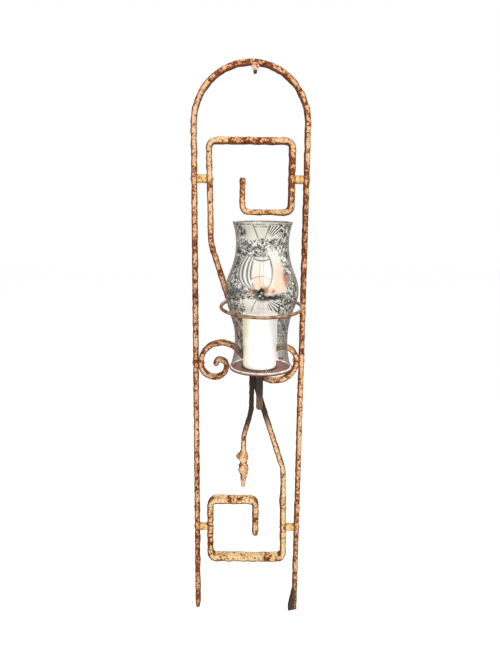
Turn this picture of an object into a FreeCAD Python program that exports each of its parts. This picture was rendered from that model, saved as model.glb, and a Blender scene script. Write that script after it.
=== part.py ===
import FreeCAD, Part
import math
import os
import re

import Sketcher

# A wall-hung iron candle sconce. One flat bar bent into a tall arch hangs on a screw. Two scroll rods,
# an S-scroll and a strap inside it carry a ring and a dish for a hurricane glass and a candle.
#
# Millimetres. +X is right seen from the room, +Y goes into the wall, +Z is up. The origin is on the
# screw's axis at the wall's face. Pieces of the frame are drawn about the frame's own middle line,
# which hangs "hang_offset" to the left of the screw.

SIZES = (
    # hanging screw
    ("shank_radius", 3.175),
    ("shank_reach", 15.6),
    ("head_width", 11.1),
    ("head_height", 4.3),
    ("head_dish_radius", 3.6),
    ("head_dish_depth", 1.0),
    ("thread_radius", 3.0),
    ("thread_length", 30.0),
    ("point_length", 6.0),
    # how the frame hangs on it
    ("hang_offset", 6.0),
    ("hang_gap", 0.2),
    # flat bar stock and its hammered edges
    ("bar_width", 8.5),
    ("bar_depth", 14.0),
    ("bar_ease", 1.1),
    # arch frame, from the middle of one leg to the middle of the other
    ("arch_width", 180.0),
    ("left_foot_fall", 104.0),
    ("left_tip_length", 9.0),
    ("left_tip_width", 5.4),
    ("right_foot_fall", 104.5),
    ("hoof_height", 38.0),
    ("hoof_width", 15.5),
    ("hoof_slant", 4.0),
    ("hoof_face", 7.0),
    # scroll rods, downwards from the screw
    ("scroll_reach", 66.5),
    ("scroll_bend", 11.0),
    ("upper_scroll_drop", 108.5),
    ("upper_scroll_height", 111.0),
    ("upper_hook_length", 54.5),
    ("upper_hook_reach", 12.5),
    ("upper_knee_fall", 51.5),
    ("rod_slant_height", 399.5),
    ("knee_inset", 3.0),
    ("knee_bend", 45.0),
    ("lower_knee_fall", 58.0),
    ("lower_scroll_height", 115.0),
    ("lower_hook_length", 69.5),
    ("lower_hook_reach", 15.0),
    # S-scroll
    ("curl_width", 8.0),
    ("curl_angle", 48.0),
    ("curl_radius_a", 36.0),
    ("curl_radius_b", 24.5),
    ("curl_radius_c", 19.5),
    ("curl_radius_d", 11.5),
    ("curl_radius_e", 6.0),
    ("curl_end_radius", 4.6),
    ("lap_length", 50.0),
    ("lap_gap", 0.05),
    ("butt_gap", 0.1),
    # torch tail, downwards from where rod and S-scroll cross
    ("tail_width", 7.8),
    ("tail_depth", 10.0),
    ("tail_ease", 1.4),
    ("tail_reach", 5.8),
    ("tail_upper_height", 87.2),
    ("tail_slant_height", 50.0),
    ("tail_lower_height", 23.0),
    ("tail_bend", 60.0),
    ("flame_reach", 7.3),
    ("flame_length", 71.0),
    ("flame_bulge", 13.6),
    ("flame_waist", 10.6),
    ("flame_tip", 5.2),
    ("flame_step_angle", 42.0),
    ("thorn_fall", 15.5),
    ("thorn_length", 11.6),
    ("thorn_root_radius", 4.4),
    ("thorn_tip_radius", 0.9),
    ("thorn_angle", 8.0),
    # strap, ring, dish and arm
    ("strap_reach", 19.5),
    ("strap_width", 12.0),
    ("strap_thickness", 3.0),
    ("strap_crown", 19.2),
    ("strap_tongue", 84.2),
    ("wire_radius", 2.75),
    ("ring_clearance", 3.2),
    ("ring_rise", 97.0),
    ("ring_angle", 4.5),
    ("pan_rise", 12.5),
    ("pan_thickness", 2.0),
    ("pan_clearance", 0.4),
    ("pan_rim_height", 1.6),
    ("pan_rim_wall", 1.2),
    ("pan_edge_round", 1.2),
    ("arm_thickness", 3.0),
    ("arm_ease", 0.5),
    ("arm_bend", 7.0),
    ("arm_tab_margin", 6.0),
    ("arm_overrun", 9.0),
    # rivets and spacers
    ("rivet_radius", 2.0),
    ("rivet_gap", 0.1),
    ("rivet_head_radius", 4.6),
    ("rivet_head_height", 2.2),
    ("rivet_margin", 1.5),
    ("drill_clearance", 1.0),
    ("flush_gap", 0.3),
    ("seat_gap", 0.15),
    ("spacer_radius", 7.0),
    ("spacer_ease", 1.2),
    ("upper_spacer_fall", 59.1),
    ("lower_spacer_fall", 54.0),
    # hurricane glass, radii outside and heights from one ring to the next
    ("glass_wall", 2.5),
    ("glass_base_radius", 48.4),
    ("glass_neck_radius", 40.9),
    ("glass_neck_height", 45.0),
    ("glass_belly_radius", 56.9),
    ("glass_belly_height", 77.0),
    ("glass_throat_radius", 39.9),
    ("glass_throat_height", 71.5),
    ("glass_rim_radius", 45.6),
    ("glass_rim_height", 33.5),
    ("rest_gap", 0.2),
    # candle
    ("candle_radius", 26.2),
    ("candle_height", 84.5),
    ("candle_offset", 1.9),
    ("candle_foot_round", 2.6),
    ("candle_top_round", 1.8),
    ("wick_radius", 1.0),
    ("wick_rise", 8.0),
    ("wick_depth", 14.0),
    ("wick_gap", 0.1),
)

doc = FreeCAD.newDocument("TorchSconce")
sheet = doc.addObject("Spreadsheet::Sheet", "Sizes")
for row, (alias, value) in enumerate(SIZES, start=1):
    sheet.set(f"A{row}", alias.replace("_", " "))
    sheet.set(f"B{row}", str(value))
    sheet.setAlias(f"B{row}", alias)
doc.recompute()

ALIASES = {alias for alias, value in SIZES}


def formula(text):
    """Name the sheet before each size in a formula."""
    return re.sub(r"[a-z_]+", lambda word: "Sizes." + word[0] if word[0] in ALIASES else word[0], text)


def number(text):
    """The value of a formula, in millimetres or degrees."""
    value = sheet.evalExpression(formula(text))
    return float(getattr(value, "Value", value))


# Sizes that follow from the sheet's. A drop is a depth below the screw.
LEG = "(arch_width / 2)"
LEG_INSIDE = f"({LEG} - bar_width / 2)"
LEG_OUTSIDE = f"({LEG} + bar_width / 2)"
MID_DEPTH = "(bar_depth / 2)"
ARCH_INSIDE = f"({LEG} - bar_width / 2 - shank_radius - hang_gap)"
ARCH_DROP = f"sqrt({ARCH_INSIDE} ^ 2 - hang_offset ^ 2)"
KNEE = "(scroll_reach - knee_inset)"
UPPER_LOW = "(upper_scroll_drop + upper_scroll_height)"
UPPER_TIP = f"({UPPER_LOW} - upper_hook_length)"
UPPER_KNEE = f"({UPPER_LOW} + upper_knee_fall)"
UPPER_SPACER = "(upper_scroll_drop + upper_spacer_fall)"
CROSSING = f"({UPPER_KNEE} + rod_slant_height / 2)"
LOWER_KNEE = f"({UPPER_KNEE} + rod_slant_height)"
LOWER_HIGH = f"({LOWER_KNEE} + lower_knee_fall)"
LOWER_LOW = f"({LOWER_HIGH} + lower_scroll_height)"
LOWER_TIP = f"({LOWER_HIGH} + lower_hook_length)"
LOWER_SPACER = f"({LOWER_HIGH} + lower_spacer_fall)"
LEFT_FOOT = f"({LOWER_LOW} + left_foot_fall)"
RIGHT_FOOT = f"({LOWER_LOW} + right_foot_fall)"
ROD_LEAN = f"atan(2 * {KNEE} / rod_slant_height)"
CURL_REACH = f"({LEG_INSIDE} - curl_width / 2)"
CURL_STRAIGHT = f"(({CURL_REACH} - curl_radius_a * (1 + sin(curl_angle))) / cos(curl_angle))"
CURL_RIVET_RISE = f"({CURL_STRAIGHT} * sin(curl_angle) - curl_radius_a * cos(curl_angle))"
TAIL_TOP = f"({CROSSING} + (tail_reach - tail_width / 2) / tan({ROD_LEAN}))"
TAIL_BEND = f"({CROSSING} + tail_upper_height)"
TAIL_KNEE = f"({TAIL_BEND} + tail_slant_height)"
FLAME_TOP = f"({TAIL_KNEE} + tail_lower_height)"
PAN_FLOOR = f"({CROSSING} - pan_rise)"
PAN_RADIUS = "(glass_base_radius + pan_clearance + pan_rim_wall)"
RING_DROP = f"({PAN_FLOOR} - ring_rise)"
RING_RADIUS = "(glass_belly_radius + ring_clearance + wire_radius)"
STRAP_TOP = f"({RING_DROP} - strap_crown)"
STRAP_BOTTOM = f"({CROSSING} + strap_tongue)"
STRAP_FRONT = "(bar_depth + strap_thickness)"
STRAP_RIVET = f"({CROSSING} + strap_reach * tan(curl_angle))"
GLASS_OUT = f"({STRAP_FRONT} + {RING_RADIUS} * cos(ring_angle) + wire_radius)"
ARM_DROP = f"({PAN_FLOOR} + pan_thickness + arm_thickness / 2)"
ARM_RIVET = f"({ARM_DROP} + arm_bend + rivet_head_radius + rivet_margin)"
ARM_TAB = f"({STRAP_RIVET} + rivet_head_radius + arm_tab_margin)"
HOLE = "(rivet_radius + rivet_gap)"


def new_body(label, x="0", y="0", z="0", turn=None):
    """A body drawn about the frame's middle line, moved by three formulas."""
    body = doc.addObject("PartDesign::Body", label)
    body.Label = label
    if turn is not None:
        body.Placement = FreeCAD.Placement(FreeCAD.Vector(), turn)
    for axis, text in (("x", f"{x} - hang_offset"), ("y", y), ("z", z)):
        body.setExpression(f"Placement.Base.{axis}", formula(text))
    return body


def new_sketch(body, name, role, offset="0", turn_axis=None, turn="0"):
    """A sketch on one of its own body's origin planes, moved along the plane's normal."""
    sketch = body.newObject("Sketcher::SketchObject", name)
    plane = next(item for item in body.Origin.OriginFeatures if item.Role == role)
    sketch.AttachmentSupport = [(plane, "")]
    sketch.MapMode = "FlatFace"
    if turn_axis is not None:
        sketch.AttachmentOffset = FreeCAD.Placement(FreeCAD.Vector(), FreeCAD.Rotation(turn_axis, number(turn)))
        sketch.setExpression("AttachmentOffset.Rotation.Angle", formula(turn))
    sketch.setExpression("AttachmentOffset.Base.z", formula(offset))
    return sketch


def bound(sketch, kind, *where):
    """A dimension of a sketch that follows a formula, which comes last."""
    text = where[-1]
    index = sketch.addConstraint(Sketcher.Constraint(kind, *where[:-1], number(text)))
    sketch.setExpression(f"Constraints[{index}]", formula(text))


def place_point(sketch, item, end, x, y):
    bound(sketch, "DistanceX", item, end, x)
    bound(sketch, "DistanceY", item, end, y)


def closed_outline(sketch, points):
    """Straight lines round a ring of points, each given by two formulas."""
    spots = [FreeCAD.Vector(number(x), number(y), 0) for x, y in points]
    lines = []
    for here, there in zip(spots, spots[1:] + spots[:1]):
        lines.append(sketch.addGeometry(Part.LineSegment(here, there)))
    for line, following in zip(lines, lines[1:] + lines[:1]):
        sketch.addConstraint(Sketcher.Constraint("Coincident", line, 2, following, 1))
    for line, (x, y) in zip(lines, points):
        place_point(sketch, line, 1, x, y)


def bar_section(sketch, x, y, width, depth, ease):
    """A rectangle with eased corners about (x, y)."""
    corners = []
    for right, back, first in ((-1, -1, "y"), (1, -1, "x"), (1, 1, "y"), (-1, 1, "x")):
        along_x = (f"{x} + {right} * ({width} / 2 - {ease})", f"{y} + {back} * {depth} / 2")
        along_y = (f"{x} + {right} * {width} / 2", f"{y} + {back} * ({depth} / 2 - {ease})")
        corners += [along_y, along_x] if first == "y" else [along_x, along_y]
    closed_outline(sketch, corners)


def corner_path(sketch, corners, bends):
    """Straight runs between corner points, rounded at each by an arc of its own radius."""
    spots = [FreeCAD.Vector(number(x), number(y), 0) for x, y in corners]
    runs = [(b - a).normalize() for a, b in zip(spots, spots[1:])]
    half_turns = [run.getAngle(following) / 2 for run, following in zip(runs, runs[1:])]
    cuts = [number(bend) * math.tan(half) for bend, half in zip(bends, half_turns)]
    starts = [0.0] + cuts
    ends = cuts + [0.0]
    lines = []
    for index, run in enumerate(runs):
        first = spots[index] + run * starts[index]
        last = spots[index + 1] - run * ends[index]
        lines.append(sketch.addGeometry(Part.LineSegment(first, last)))
    for index, bend in enumerate(bends):
        before = runs[index]
        after = runs[index + 1]
        turns_left = before.x * after.y - before.y * after.x > 0
        side = 1 if turns_left else -1
        radius = number(bend)
        entry = spots[index + 1] - before * cuts[index]
        centre = entry + FreeCAD.Vector(-before.y, before.x, 0) * side * radius
        angle_in = math.atan2(entry.y - centre.y, entry.x - centre.x)
        angle_out = angle_in + side * 2 * half_turns[index]
        angles = (angle_in, angle_out) if turns_left else (angle_out, angle_in)
        circle = Part.Circle(centre, FreeCAD.Vector(0, 0, 1), radius)
        arc = sketch.addGeometry(Part.ArcOfCircle(circle, *angles))
        entry_end, exit_end = (1, 2) if turns_left else (2, 1)
        sketch.addConstraint(Sketcher.Constraint("Tangent", lines[index], 2, arc, entry_end))
        sketch.addConstraint(Sketcher.Constraint("Tangent", arc, exit_end, lines[index + 1], 1))
        bound(sketch, "Radius", arc, bend)
        corner = sketch.addGeometry(Part.Point(spots[index + 1]), True)
        place_point(sketch, corner, 1, *corners[index + 1])
        sketch.addConstraint(Sketcher.Constraint("PointOnObject", corner, 1, lines[index]))
        sketch.addConstraint(Sketcher.Constraint("PointOnObject", corner, 1, lines[index + 1]))
    place_point(sketch, lines[0], 1, *corners[0])
    place_point(sketch, lines[-1], 2, *corners[-1])
    return len(lines) + len(bends)


def sweep(body, name, section, path, edge_count, upright):
    """Bar stock swept along a flat path, whose plane has the normal "upright"."""
    pipe = body.newObject("PartDesign::AdditivePipe", name)
    pipe.Profile = section
    pipe.Spine = (path, [f"Edge{index + 1}" for index in range(edge_count)])
    pipe.Mode = "Binormal"
    pipe.Binormal = upright
    return pipe


def pad(body, name, sketch, length, midplane=False):
    feature = body.newObject("PartDesign::Pad", name)
    feature.Profile = sketch
    feature.Midplane = midplane
    feature.setExpression("Length", formula(length))
    return feature


def pocket(body, name, sketch, length, along_normal=False):
    feature = body.newObject("PartDesign::Pocket", name)
    feature.Profile = sketch
    feature.Reversed = along_normal
    feature.setExpression("Length", formula(length))
    return feature


def turn_round(body, kind, name, sketch, axis="V_Axis"):
    """A full turn about one of the sketch's axes."""
    feature = body.newObject(f"PartDesign::{kind}", name)
    feature.Profile = sketch
    feature.ReferenceAxis = (sketch, [axis])
    feature.Angle = 360
    return feature


def circle(sketch, x, y, radius):
    centre = FreeCAD.Vector(number(x), number(y), 0)
    item = sketch.addGeometry(Part.Circle(centre, FreeCAD.Vector(0, 0, 1), number(radius)))
    place_point(sketch, item, 3, x, y)
    bound(sketch, "Radius", item, radius)


def drill(body, name, plane, start, holes, depth, along_normal=False):
    """Rivet holes through bars, from a plane at "start", at (x, y) of the plane."""
    sketch = new_sketch(body, f"{name}_outline", plane, start)
    for x, y in holes:
        circle(sketch, x, y, HOLE)
    pocket(body, name, sketch, depth, along_normal)


def make_hanging_screw():
    body = new_body("hanging_screw", x="hang_offset")
    shaft = new_sketch(body, "screw_shaft_outline", "YZ_Plane")
    closed_outline(shaft, (
        ("-shank_reach", "0"),
        ("-shank_reach", "shank_radius"),
        ("0", "shank_radius"),
        ("0", "thread_radius"),
        ("thread_length", "thread_radius"),
        ("thread_length + point_length", "0"),
    ))
    turn_round(body, "Revolution", "screw_shaft", shaft, "H_Axis")
    hexagon = new_sketch(body, "screw_head_outline", "XZ_Plane", "shank_reach")
    corner_radius = "head_width / sqrt(3)"
    closed_outline(hexagon, [(f"{corner_radius} * cos({60 * side})", f"{corner_radius} * sin({60 * side})")
                             for side in range(6)])
    pad(body, "screw_head", hexagon, "head_height")
    dish = new_sketch(body, "screw_dish_outline", "XZ_Plane", "shank_reach + head_height - head_dish_depth")
    circle(dish, "0", "0", "head_dish_radius")
    pocket(body, "screw_dish", dish, "head_dish_depth", along_normal=True)


def make_arch_frame():
    body = new_body("arch_frame")
    left_end = f"{LEFT_FOOT} - left_tip_length"
    path = new_sketch(body, "arch_path", "XZ_Plane")
    left = FreeCAD.Vector(-number(LEG), 0, 0)
    spring = -number(ARCH_DROP)
    left_leg = path.addGeometry(Part.LineSegment(left + FreeCAD.Vector(0, -number(left_end), 0),
                                                 left + FreeCAD.Vector(0, spring, 0)))
    top = Part.Circle(FreeCAD.Vector(0, spring, 0), FreeCAD.Vector(0, 0, 1), number(LEG))
    arch = path.addGeometry(Part.ArcOfCircle(top, 0, math.pi))
    right_leg = path.addGeometry(Part.LineSegment(FreeCAD.Vector(number(LEG), spring, 0),
                                                  FreeCAD.Vector(number(LEG), -number(RIGHT_FOOT), 0)))
    path.addConstraint(Sketcher.Constraint("Tangent", left_leg, 2, arch, 2))
    path.addConstraint(Sketcher.Constraint("Tangent", arch, 1, right_leg, 1))
    place_point(path, arch, 3, "0", f"-{ARCH_DROP}")
    place_point(path, left_leg, 1, f"-{LEG}", f"-({left_end})")
    place_point(path, right_leg, 2, LEG, f"-{RIGHT_FOOT}")
    section = new_sketch(body, "arch_section", "XY_Plane", f"-({left_end})")
    bar_section(section, f"-{LEG}", f"-{MID_DEPTH}", "bar_width", "bar_depth", "bar_ease")
    sweep(body, "arch_bar", section, path, 3, FreeCAD.Vector(0, 1, 0))

    tip_start = new_sketch(body, "left_tip_start", "XY_Plane", f"-({left_end})")
    bar_section(tip_start, f"-{LEG}", f"-{MID_DEPTH}", "bar_width", "bar_depth", "bar_ease")
    tip_end = new_sketch(body, "left_tip_end", "XY_Plane", f"-{LEFT_FOOT}")
    tip_depth = "bar_depth - bar_width + left_tip_width"
    bar_section(tip_end, f"-{LEG}", f"-{MID_DEPTH}", "left_tip_width", f"({tip_depth})", "bar_ease")
    tip = body.newObject("PartDesign::AdditiveLoft", "left_tip")
    tip.Profile = tip_start
    tip.Sections = [tip_end]
    tip.Ruled = True

    hoof = new_sketch(body, "right_hoof_outline", "XZ_Plane")
    toe = f"{LEG_OUTSIDE} - hoof_width"
    closed_outline(hoof, (
        (LEG_OUTSIDE, f"-({RIGHT_FOOT} - hoof_height)"),
        (LEG_INSIDE, f"-({RIGHT_FOOT} - hoof_height)"),
        (toe, f"-({RIGHT_FOOT} + hoof_slant - hoof_face)"),
        (toe, f"-({RIGHT_FOOT} + hoof_slant)"),
        (LEG_OUTSIDE, f"-{RIGHT_FOOT}"),
    ))
    pad(body, "right_hoof", hoof, "bar_depth")

    for side, start in (("left", f"-({LEG} - bar_width)"), ("right", f"{LEG} + bar_width")):
        sign = "-" if side == "right" else ""
        holes = (
            (f"-{MID_DEPTH}", f"-{UPPER_SPACER}"),
            (f"-{MID_DEPTH}", f"-{CROSSING} + {sign}{CURL_RIVET_RISE}"),
            (f"-{MID_DEPTH}", f"-{LOWER_SPACER}"),
        )
        drill(body, f"{side}_leg_holes", "YZ_Plane", start, holes, "2 * bar_width")


def make_scroll_rod(label, corners, holes):
    """A bar bent into a square scroll, whose other end is butted to its twin at the crossing."""
    body = new_body(label)
    tip_x, tip_z = corners[0]
    bends = ["scroll_bend"] * (len(corners) - 2) + ["knee_bend"]
    path = new_sketch(body, f"{label}_path", "XZ_Plane")
    edge_count = corner_path(path, corners + (butt_end(label),), bends)
    section = new_sketch(body, f"{label}_section", "XY_Plane", tip_z)
    bar_section(section, tip_x, f"-{MID_DEPTH}", "bar_width", "bar_depth", "bar_ease")
    sweep(body, f"{label}_bar", section, path, edge_count, FreeCAD.Vector(0, 1, 0))

    for name, start, drop in holes:
        drill(body, name, "YZ_Plane", start, ((f"-{MID_DEPTH}", f"-{drop}"),), "2 * bar_width")

    lap = new_sketch(body, f"{label}_lap_outline", "XZ_Plane", f"{MID_DEPTH} - lap_gap",
                     FreeCAD.Vector(0, 0, 1), "90 - curl_angle")
    lap.setExpression("AttachmentOffset.Base.y", formula(f"-{CROSSING}"))
    lap_rectangle(lap, "curl_width")
    pocket(body, f"{label}_lap", lap, "bar_depth", along_normal=True)


def butt_end(label):
    """Where a rod's middle line stops, half a gap short of the crossing."""
    side = "-" if label == "upper_scroll_rod" else ""
    other = "" if label == "upper_scroll_rod" else "-"
    return f"{side}butt_gap / 2 * sin({ROD_LEAN})", f"{other}butt_gap / 2 * cos({ROD_LEAN}) - {CROSSING}"


def make_scroll_rods():
    """The upper and the lower square scroll, one bar each, in line across the middle."""
    make_scroll_rod("upper_scroll_rod", (
        ("-upper_hook_reach", f"-{UPPER_TIP}"),
        ("-upper_hook_reach", f"-{UPPER_LOW}"),
        ("scroll_reach", f"-{UPPER_LOW}"),
        ("scroll_reach", "-upper_scroll_drop"),
        ("-scroll_reach", "-upper_scroll_drop"),
        (f"-{KNEE}", f"-{UPPER_KNEE}"),
    ), (
        ("upper_left_hole", "-(scroll_reach - bar_width)", UPPER_SPACER),
        ("upper_right_hole", "scroll_reach + bar_width", UPPER_SPACER),
    ))
    make_scroll_rod("lower_scroll_rod", (
        ("lower_hook_reach", f"-{LOWER_TIP}"),
        ("lower_hook_reach", f"-{LOWER_HIGH}"),
        ("-scroll_reach", f"-{LOWER_HIGH}"),
        ("-scroll_reach", f"-{LOWER_LOW}"),
        ("scroll_reach", f"-{LOWER_LOW}"),
        (KNEE, f"-{LOWER_KNEE}"),
    ), (
        ("lower_left_hole", "-(scroll_reach - bar_width)", LOWER_SPACER),
        ("lower_right_hole", "scroll_reach + bar_width", LOWER_SPACER),
    ))


def lap_rectangle(sketch, width):
    """Where one bar crosses another in a half lap."""
    side = f"({width} / 2 + lap_gap)"
    end = "(lap_length / 2)"
    closed_outline(sketch, ((f"-{side}", f"-{end}"), (side, f"-{end}"), (side, end), (f"-{side}", end)))


def make_s_scroll():
    """One half is swept from the middle out, and turned about the middle for the other."""
    body = new_body("s_scroll", z=f"-{CROSSING}")
    path = new_sketch(body, "curl_path", "XZ_Plane")
    pitch = math.radians(number("curl_angle"))
    straight = number(CURL_STRAIGHT)
    joint = FreeCAD.Vector(-straight * math.cos(pitch), straight * math.sin(pitch), 0)
    line = path.addGeometry(Part.LineSegment(FreeCAD.Vector(), joint))
    path.addConstraint(Sketcher.Constraint("Coincident", line, 1, -1, 1))
    previous = line
    heading = math.pi - pitch
    radii = [f"curl_radius_{letter}" for letter in "abcde"]
    for index, radius in enumerate(radii):
        size = number(radius)
        centre = joint + FreeCAD.Vector(-math.sin(heading), math.cos(heading), 0) * size
        next_heading = math.pi * (3 + index) / 2
        round_line = Part.Circle(centre, FreeCAD.Vector(0, 0, 1), size)
        arc = path.addGeometry(Part.ArcOfCircle(round_line, heading - math.pi / 2, next_heading - math.pi / 2))
        path.addConstraint(Sketcher.Constraint("Tangent", previous, 2, arc, 1))
        bound(path, "Radius", arc, radius)
        level = "Horizontal" if index % 2 == 0 else "Vertical"
        path.addConstraint(Sketcher.Constraint(level, arc, 3, arc, 2))
        if index == 0:
            bound(path, "DistanceX", arc, 2, f"-{CURL_REACH}")
            bound(path, "DistanceY", arc, 2, CURL_RIVET_RISE)
        joint = centre + FreeCAD.Vector(math.sin(next_heading), -math.cos(next_heading), 0) * size
        previous = arc
        heading = next_heading
    section = new_sketch(body, "curl_section", "XY_Plane", "0", FreeCAD.Vector(0, 1, 0), "curl_angle - 90")
    bar_section(section, "0", f"-{MID_DEPTH}", "curl_width", "bar_depth", "bar_ease")
    sweep(body, "curl_bar", section, path, 6, FreeCAD.Vector(0, 1, 0))
    snub = new_sketch(body, "curl_end_outline", "XZ_Plane")
    end_x = f"-{CURL_REACH} + curl_radius_b + curl_radius_c - curl_radius_d - curl_radius_e"
    end_z = f"{CURL_RIVET_RISE} - curl_radius_b + curl_radius_c + curl_radius_d - curl_radius_e"
    circle(snub, end_x, end_z, "curl_end_radius")
    pad(body, "curl_end", snub, "bar_depth")
    drill(body, "curl_hole", "YZ_Plane", f"-({LEG_INSIDE} - 2 * curl_width)",
          ((f"-{MID_DEPTH}", CURL_RIVET_RISE),), "3 * curl_width")
    both = body.newObject("PartDesign::PolarPattern", "curl_pair")
    both.Originals = [item for item in body.Group if item.Name in ("curl_bar", "curl_end", "curl_hole")]
    both.Axis = (next(item for item in body.Origin.OriginFeatures if item.Role == "Y_Axis"), [""])
    both.Angle = 360
    both.Occurrences = 2
    body.Tip = both

    lap = new_sketch(body, "curl_lap_outline", "XZ_Plane", f"{MID_DEPTH} + lap_gap",
                     FreeCAD.Vector(0, 0, 1), ROD_LEAN)
    lap_rectangle(lap, "bar_width")
    pocket(body, "curl_lap", lap, "bar_depth")
    drill(body, "curl_strap_hole", "XZ_Plane", "0", (("strap_reach", f"{CROSSING} - {STRAP_RIVET}"),),
          "bar_depth + drill_clearance", along_normal=True)


def make_torch_tail():
    body = new_body("torch_tail")
    path = new_sketch(body, "tail_path", "XZ_Plane")
    corners = (
        ("tail_reach", f"-{TAIL_TOP}"),
        ("tail_reach", f"-{TAIL_BEND}"),
        ("-flame_reach", f"-{TAIL_KNEE}"),
        ("-flame_reach", f"-{FLAME_TOP}"),
    )
    edge_count = corner_path(path, corners, ("tail_bend", "tail_bend"))
    section = new_sketch(body, "tail_section", "XY_Plane", f"-{TAIL_TOP}")
    bar_section(section, "tail_reach", f"-{MID_DEPTH}", "tail_width", "tail_depth", "tail_ease")
    sweep(body, "tail_bar", section, path, edge_count, FreeCAD.Vector(0, 1, 0))

    # the side against the rod is scarfed to the rod's slant
    scarf = new_sketch(body, "scarf_outline", "XZ_Plane", "0", FreeCAD.Vector(0, 0, 1), ROD_LEAN)
    scarf.setExpression("AttachmentOffset.Base.y", formula(f"-{CROSSING}"))
    face = "-(bar_width / 2)"
    far = "(4 * bar_width)"
    closed_outline(scarf, ((face, "-lap_length - tail_width"), (far, "-lap_length - tail_width"),
                           (far, "lap_length"), (face, "lap_length")))
    pocket(body, "scarf", scarf, "2 * bar_depth", along_normal=True)

    turns = (
        ("0", "tail_width", "tail_depth"),
        ("0.13", "(flame_waist + tail_width) / 2", "(flame_waist + tail_depth) / 2"),
        ("0.25", "flame_bulge", "flame_bulge"),
        ("0.40", "flame_waist", "flame_waist"),
        ("0.54", "flame_bulge", "flame_waist"),
        ("0.70", "flame_waist", "flame_waist"),
        ("0.86", "(flame_waist + flame_tip) / 2", "(flame_waist + flame_tip) / 2"),
        ("1", "flame_tip", "flame_tip"),
    )
    sections = []
    for index, (share, width, depth) in enumerate(turns):
        ring = new_sketch(body, f"flame_section_{index}", "XY_Plane", f"-({FLAME_TOP} + {share} * flame_length)",
                          FreeCAD.Vector(0, 0, 1), f"{index} * flame_step_angle")
        ring.setExpression("AttachmentOffset.Base.x", formula("-flame_reach"))
        ring.setExpression("AttachmentOffset.Base.y", formula(f"-{MID_DEPTH}"))
        bar_section(ring, "0", "0", f"({width})", f"({depth})", "tail_ease")
        sections.append(ring)
    flame = body.newObject("PartDesign::AdditiveLoft", "flame")
    flame.Profile = sections[0]
    flame.Sections = sections[1:]
    flame.Ruled = True

    thorn = body.newObject("PartDesign::AdditiveCone", "thorn")
    plane = next(item for item in body.Origin.OriginFeatures if item.Role == "XY_Plane")
    thorn.AttachmentSupport = [(plane, "")]
    thorn.MapMode = "FlatFace"
    thorn.AttachmentOffset = FreeCAD.Placement(FreeCAD.Vector(), FreeCAD.Rotation(FreeCAD.Vector(0, 1, 0), -90))
    thorn.setExpression("AttachmentOffset.Base.x", formula("-flame_reach"))
    thorn.setExpression("AttachmentOffset.Base.y", formula(f"-{MID_DEPTH}"))
    thorn.setExpression("AttachmentOffset.Base.z", formula(f"-({FLAME_TOP} + thorn_fall)"))
    thorn.setExpression("AttachmentOffset.Rotation.Angle", formula("-90 + thorn_angle"))
    thorn.setExpression("Radius1", formula("thorn_root_radius"))
    thorn.setExpression("Radius2", formula("thorn_tip_radius"))
    thorn.setExpression("Height", formula("thorn_length"))


def make_back_strap():
    body = new_body("back_strap", x="strap_reach", y="-bar_depth")
    outline = new_sketch(body, "strap_outline", "XZ_Plane")
    half = number("strap_width / 2")
    top = -number(f"{STRAP_TOP} + strap_width / 2")
    bottom = -number(f"{STRAP_BOTTOM} - strap_width / 2")
    up = FreeCAD.Vector(0, 0, 1)
    left = outline.addGeometry(Part.LineSegment(FreeCAD.Vector(-half, top, 0), FreeCAD.Vector(-half, bottom, 0)))
    foot = outline.addGeometry(Part.ArcOfCircle(Part.Circle(FreeCAD.Vector(0, bottom, 0), up, half),
                                                math.pi, 2 * math.pi))
    right = outline.addGeometry(Part.LineSegment(FreeCAD.Vector(half, bottom, 0), FreeCAD.Vector(half, top, 0)))
    crown = outline.addGeometry(Part.ArcOfCircle(Part.Circle(FreeCAD.Vector(0, top, 0), up, half), 0, math.pi))
    for before, after in ((left, foot), (foot, right), (right, crown), (crown, left)):
        outline.addConstraint(Sketcher.Constraint("Tangent", before, 2, after, 1))
    place_point(outline, foot, 3, "0", f"-({STRAP_BOTTOM} - strap_width / 2)")
    bound(outline, "Radius", foot, "strap_width / 2")
    place_point(outline, crown, 3, "0", f"-({STRAP_TOP} + strap_width / 2)")
    pad(body, "strap_plate", outline, "strap_thickness")
    drill(body, "strap_holes", "XZ_Plane", "-drill_clearance",
          (("0", f"-{ARM_RIVET}"), ("0", f"-{STRAP_RIVET}")), "strap_thickness + 2 * drill_clearance",
          along_normal=True)


def make_glass_ring():
    ring = doc.addObject("Part::Torus", "glass_ring")
    ring.Label = "glass_ring"
    ring.Placement = FreeCAD.Placement(FreeCAD.Vector(), FreeCAD.Rotation(FreeCAD.Vector(1, 0, 0), 1))
    ring.setExpression("Placement.Rotation.Angle", formula("ring_angle"))
    ring.setExpression("Placement.Base.x", formula("strap_reach - hang_offset"))
    ring.setExpression("Placement.Base.y", formula(f"-{GLASS_OUT}"))
    ring.setExpression("Placement.Base.z", formula(f"-{RING_DROP}"))
    ring.setExpression("Radius1", formula(RING_RADIUS))
    ring.setExpression("Radius2", formula("wire_radius"))


def make_candle_pan():
    body = new_body("candle_pan", x="strap_reach", y=f"-{GLASS_OUT}", z=f"-{PAN_FLOOR}")
    outline = new_sketch(body, "pan_outline", "XZ_Plane")
    closed_outline(outline, (
        ("0", "0"),
        ("0", "-pan_thickness"),
        (f"{PAN_RADIUS} - pan_edge_round", "-pan_thickness"),
        (PAN_RADIUS, "-pan_thickness + pan_edge_round"),
        (PAN_RADIUS, "pan_rim_height"),
        (f"{PAN_RADIUS} - pan_rim_wall", "pan_rim_height"),
        (f"{PAN_RADIUS} - pan_rim_wall", "0"),
    ))
    turn_round(body, "Revolution", "pan_dish", outline)
    drill(body, "pan_hole", "XY_Plane", "drill_clearance", (("0", "0"),), "pan_thickness + 2 * drill_clearance")


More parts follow.
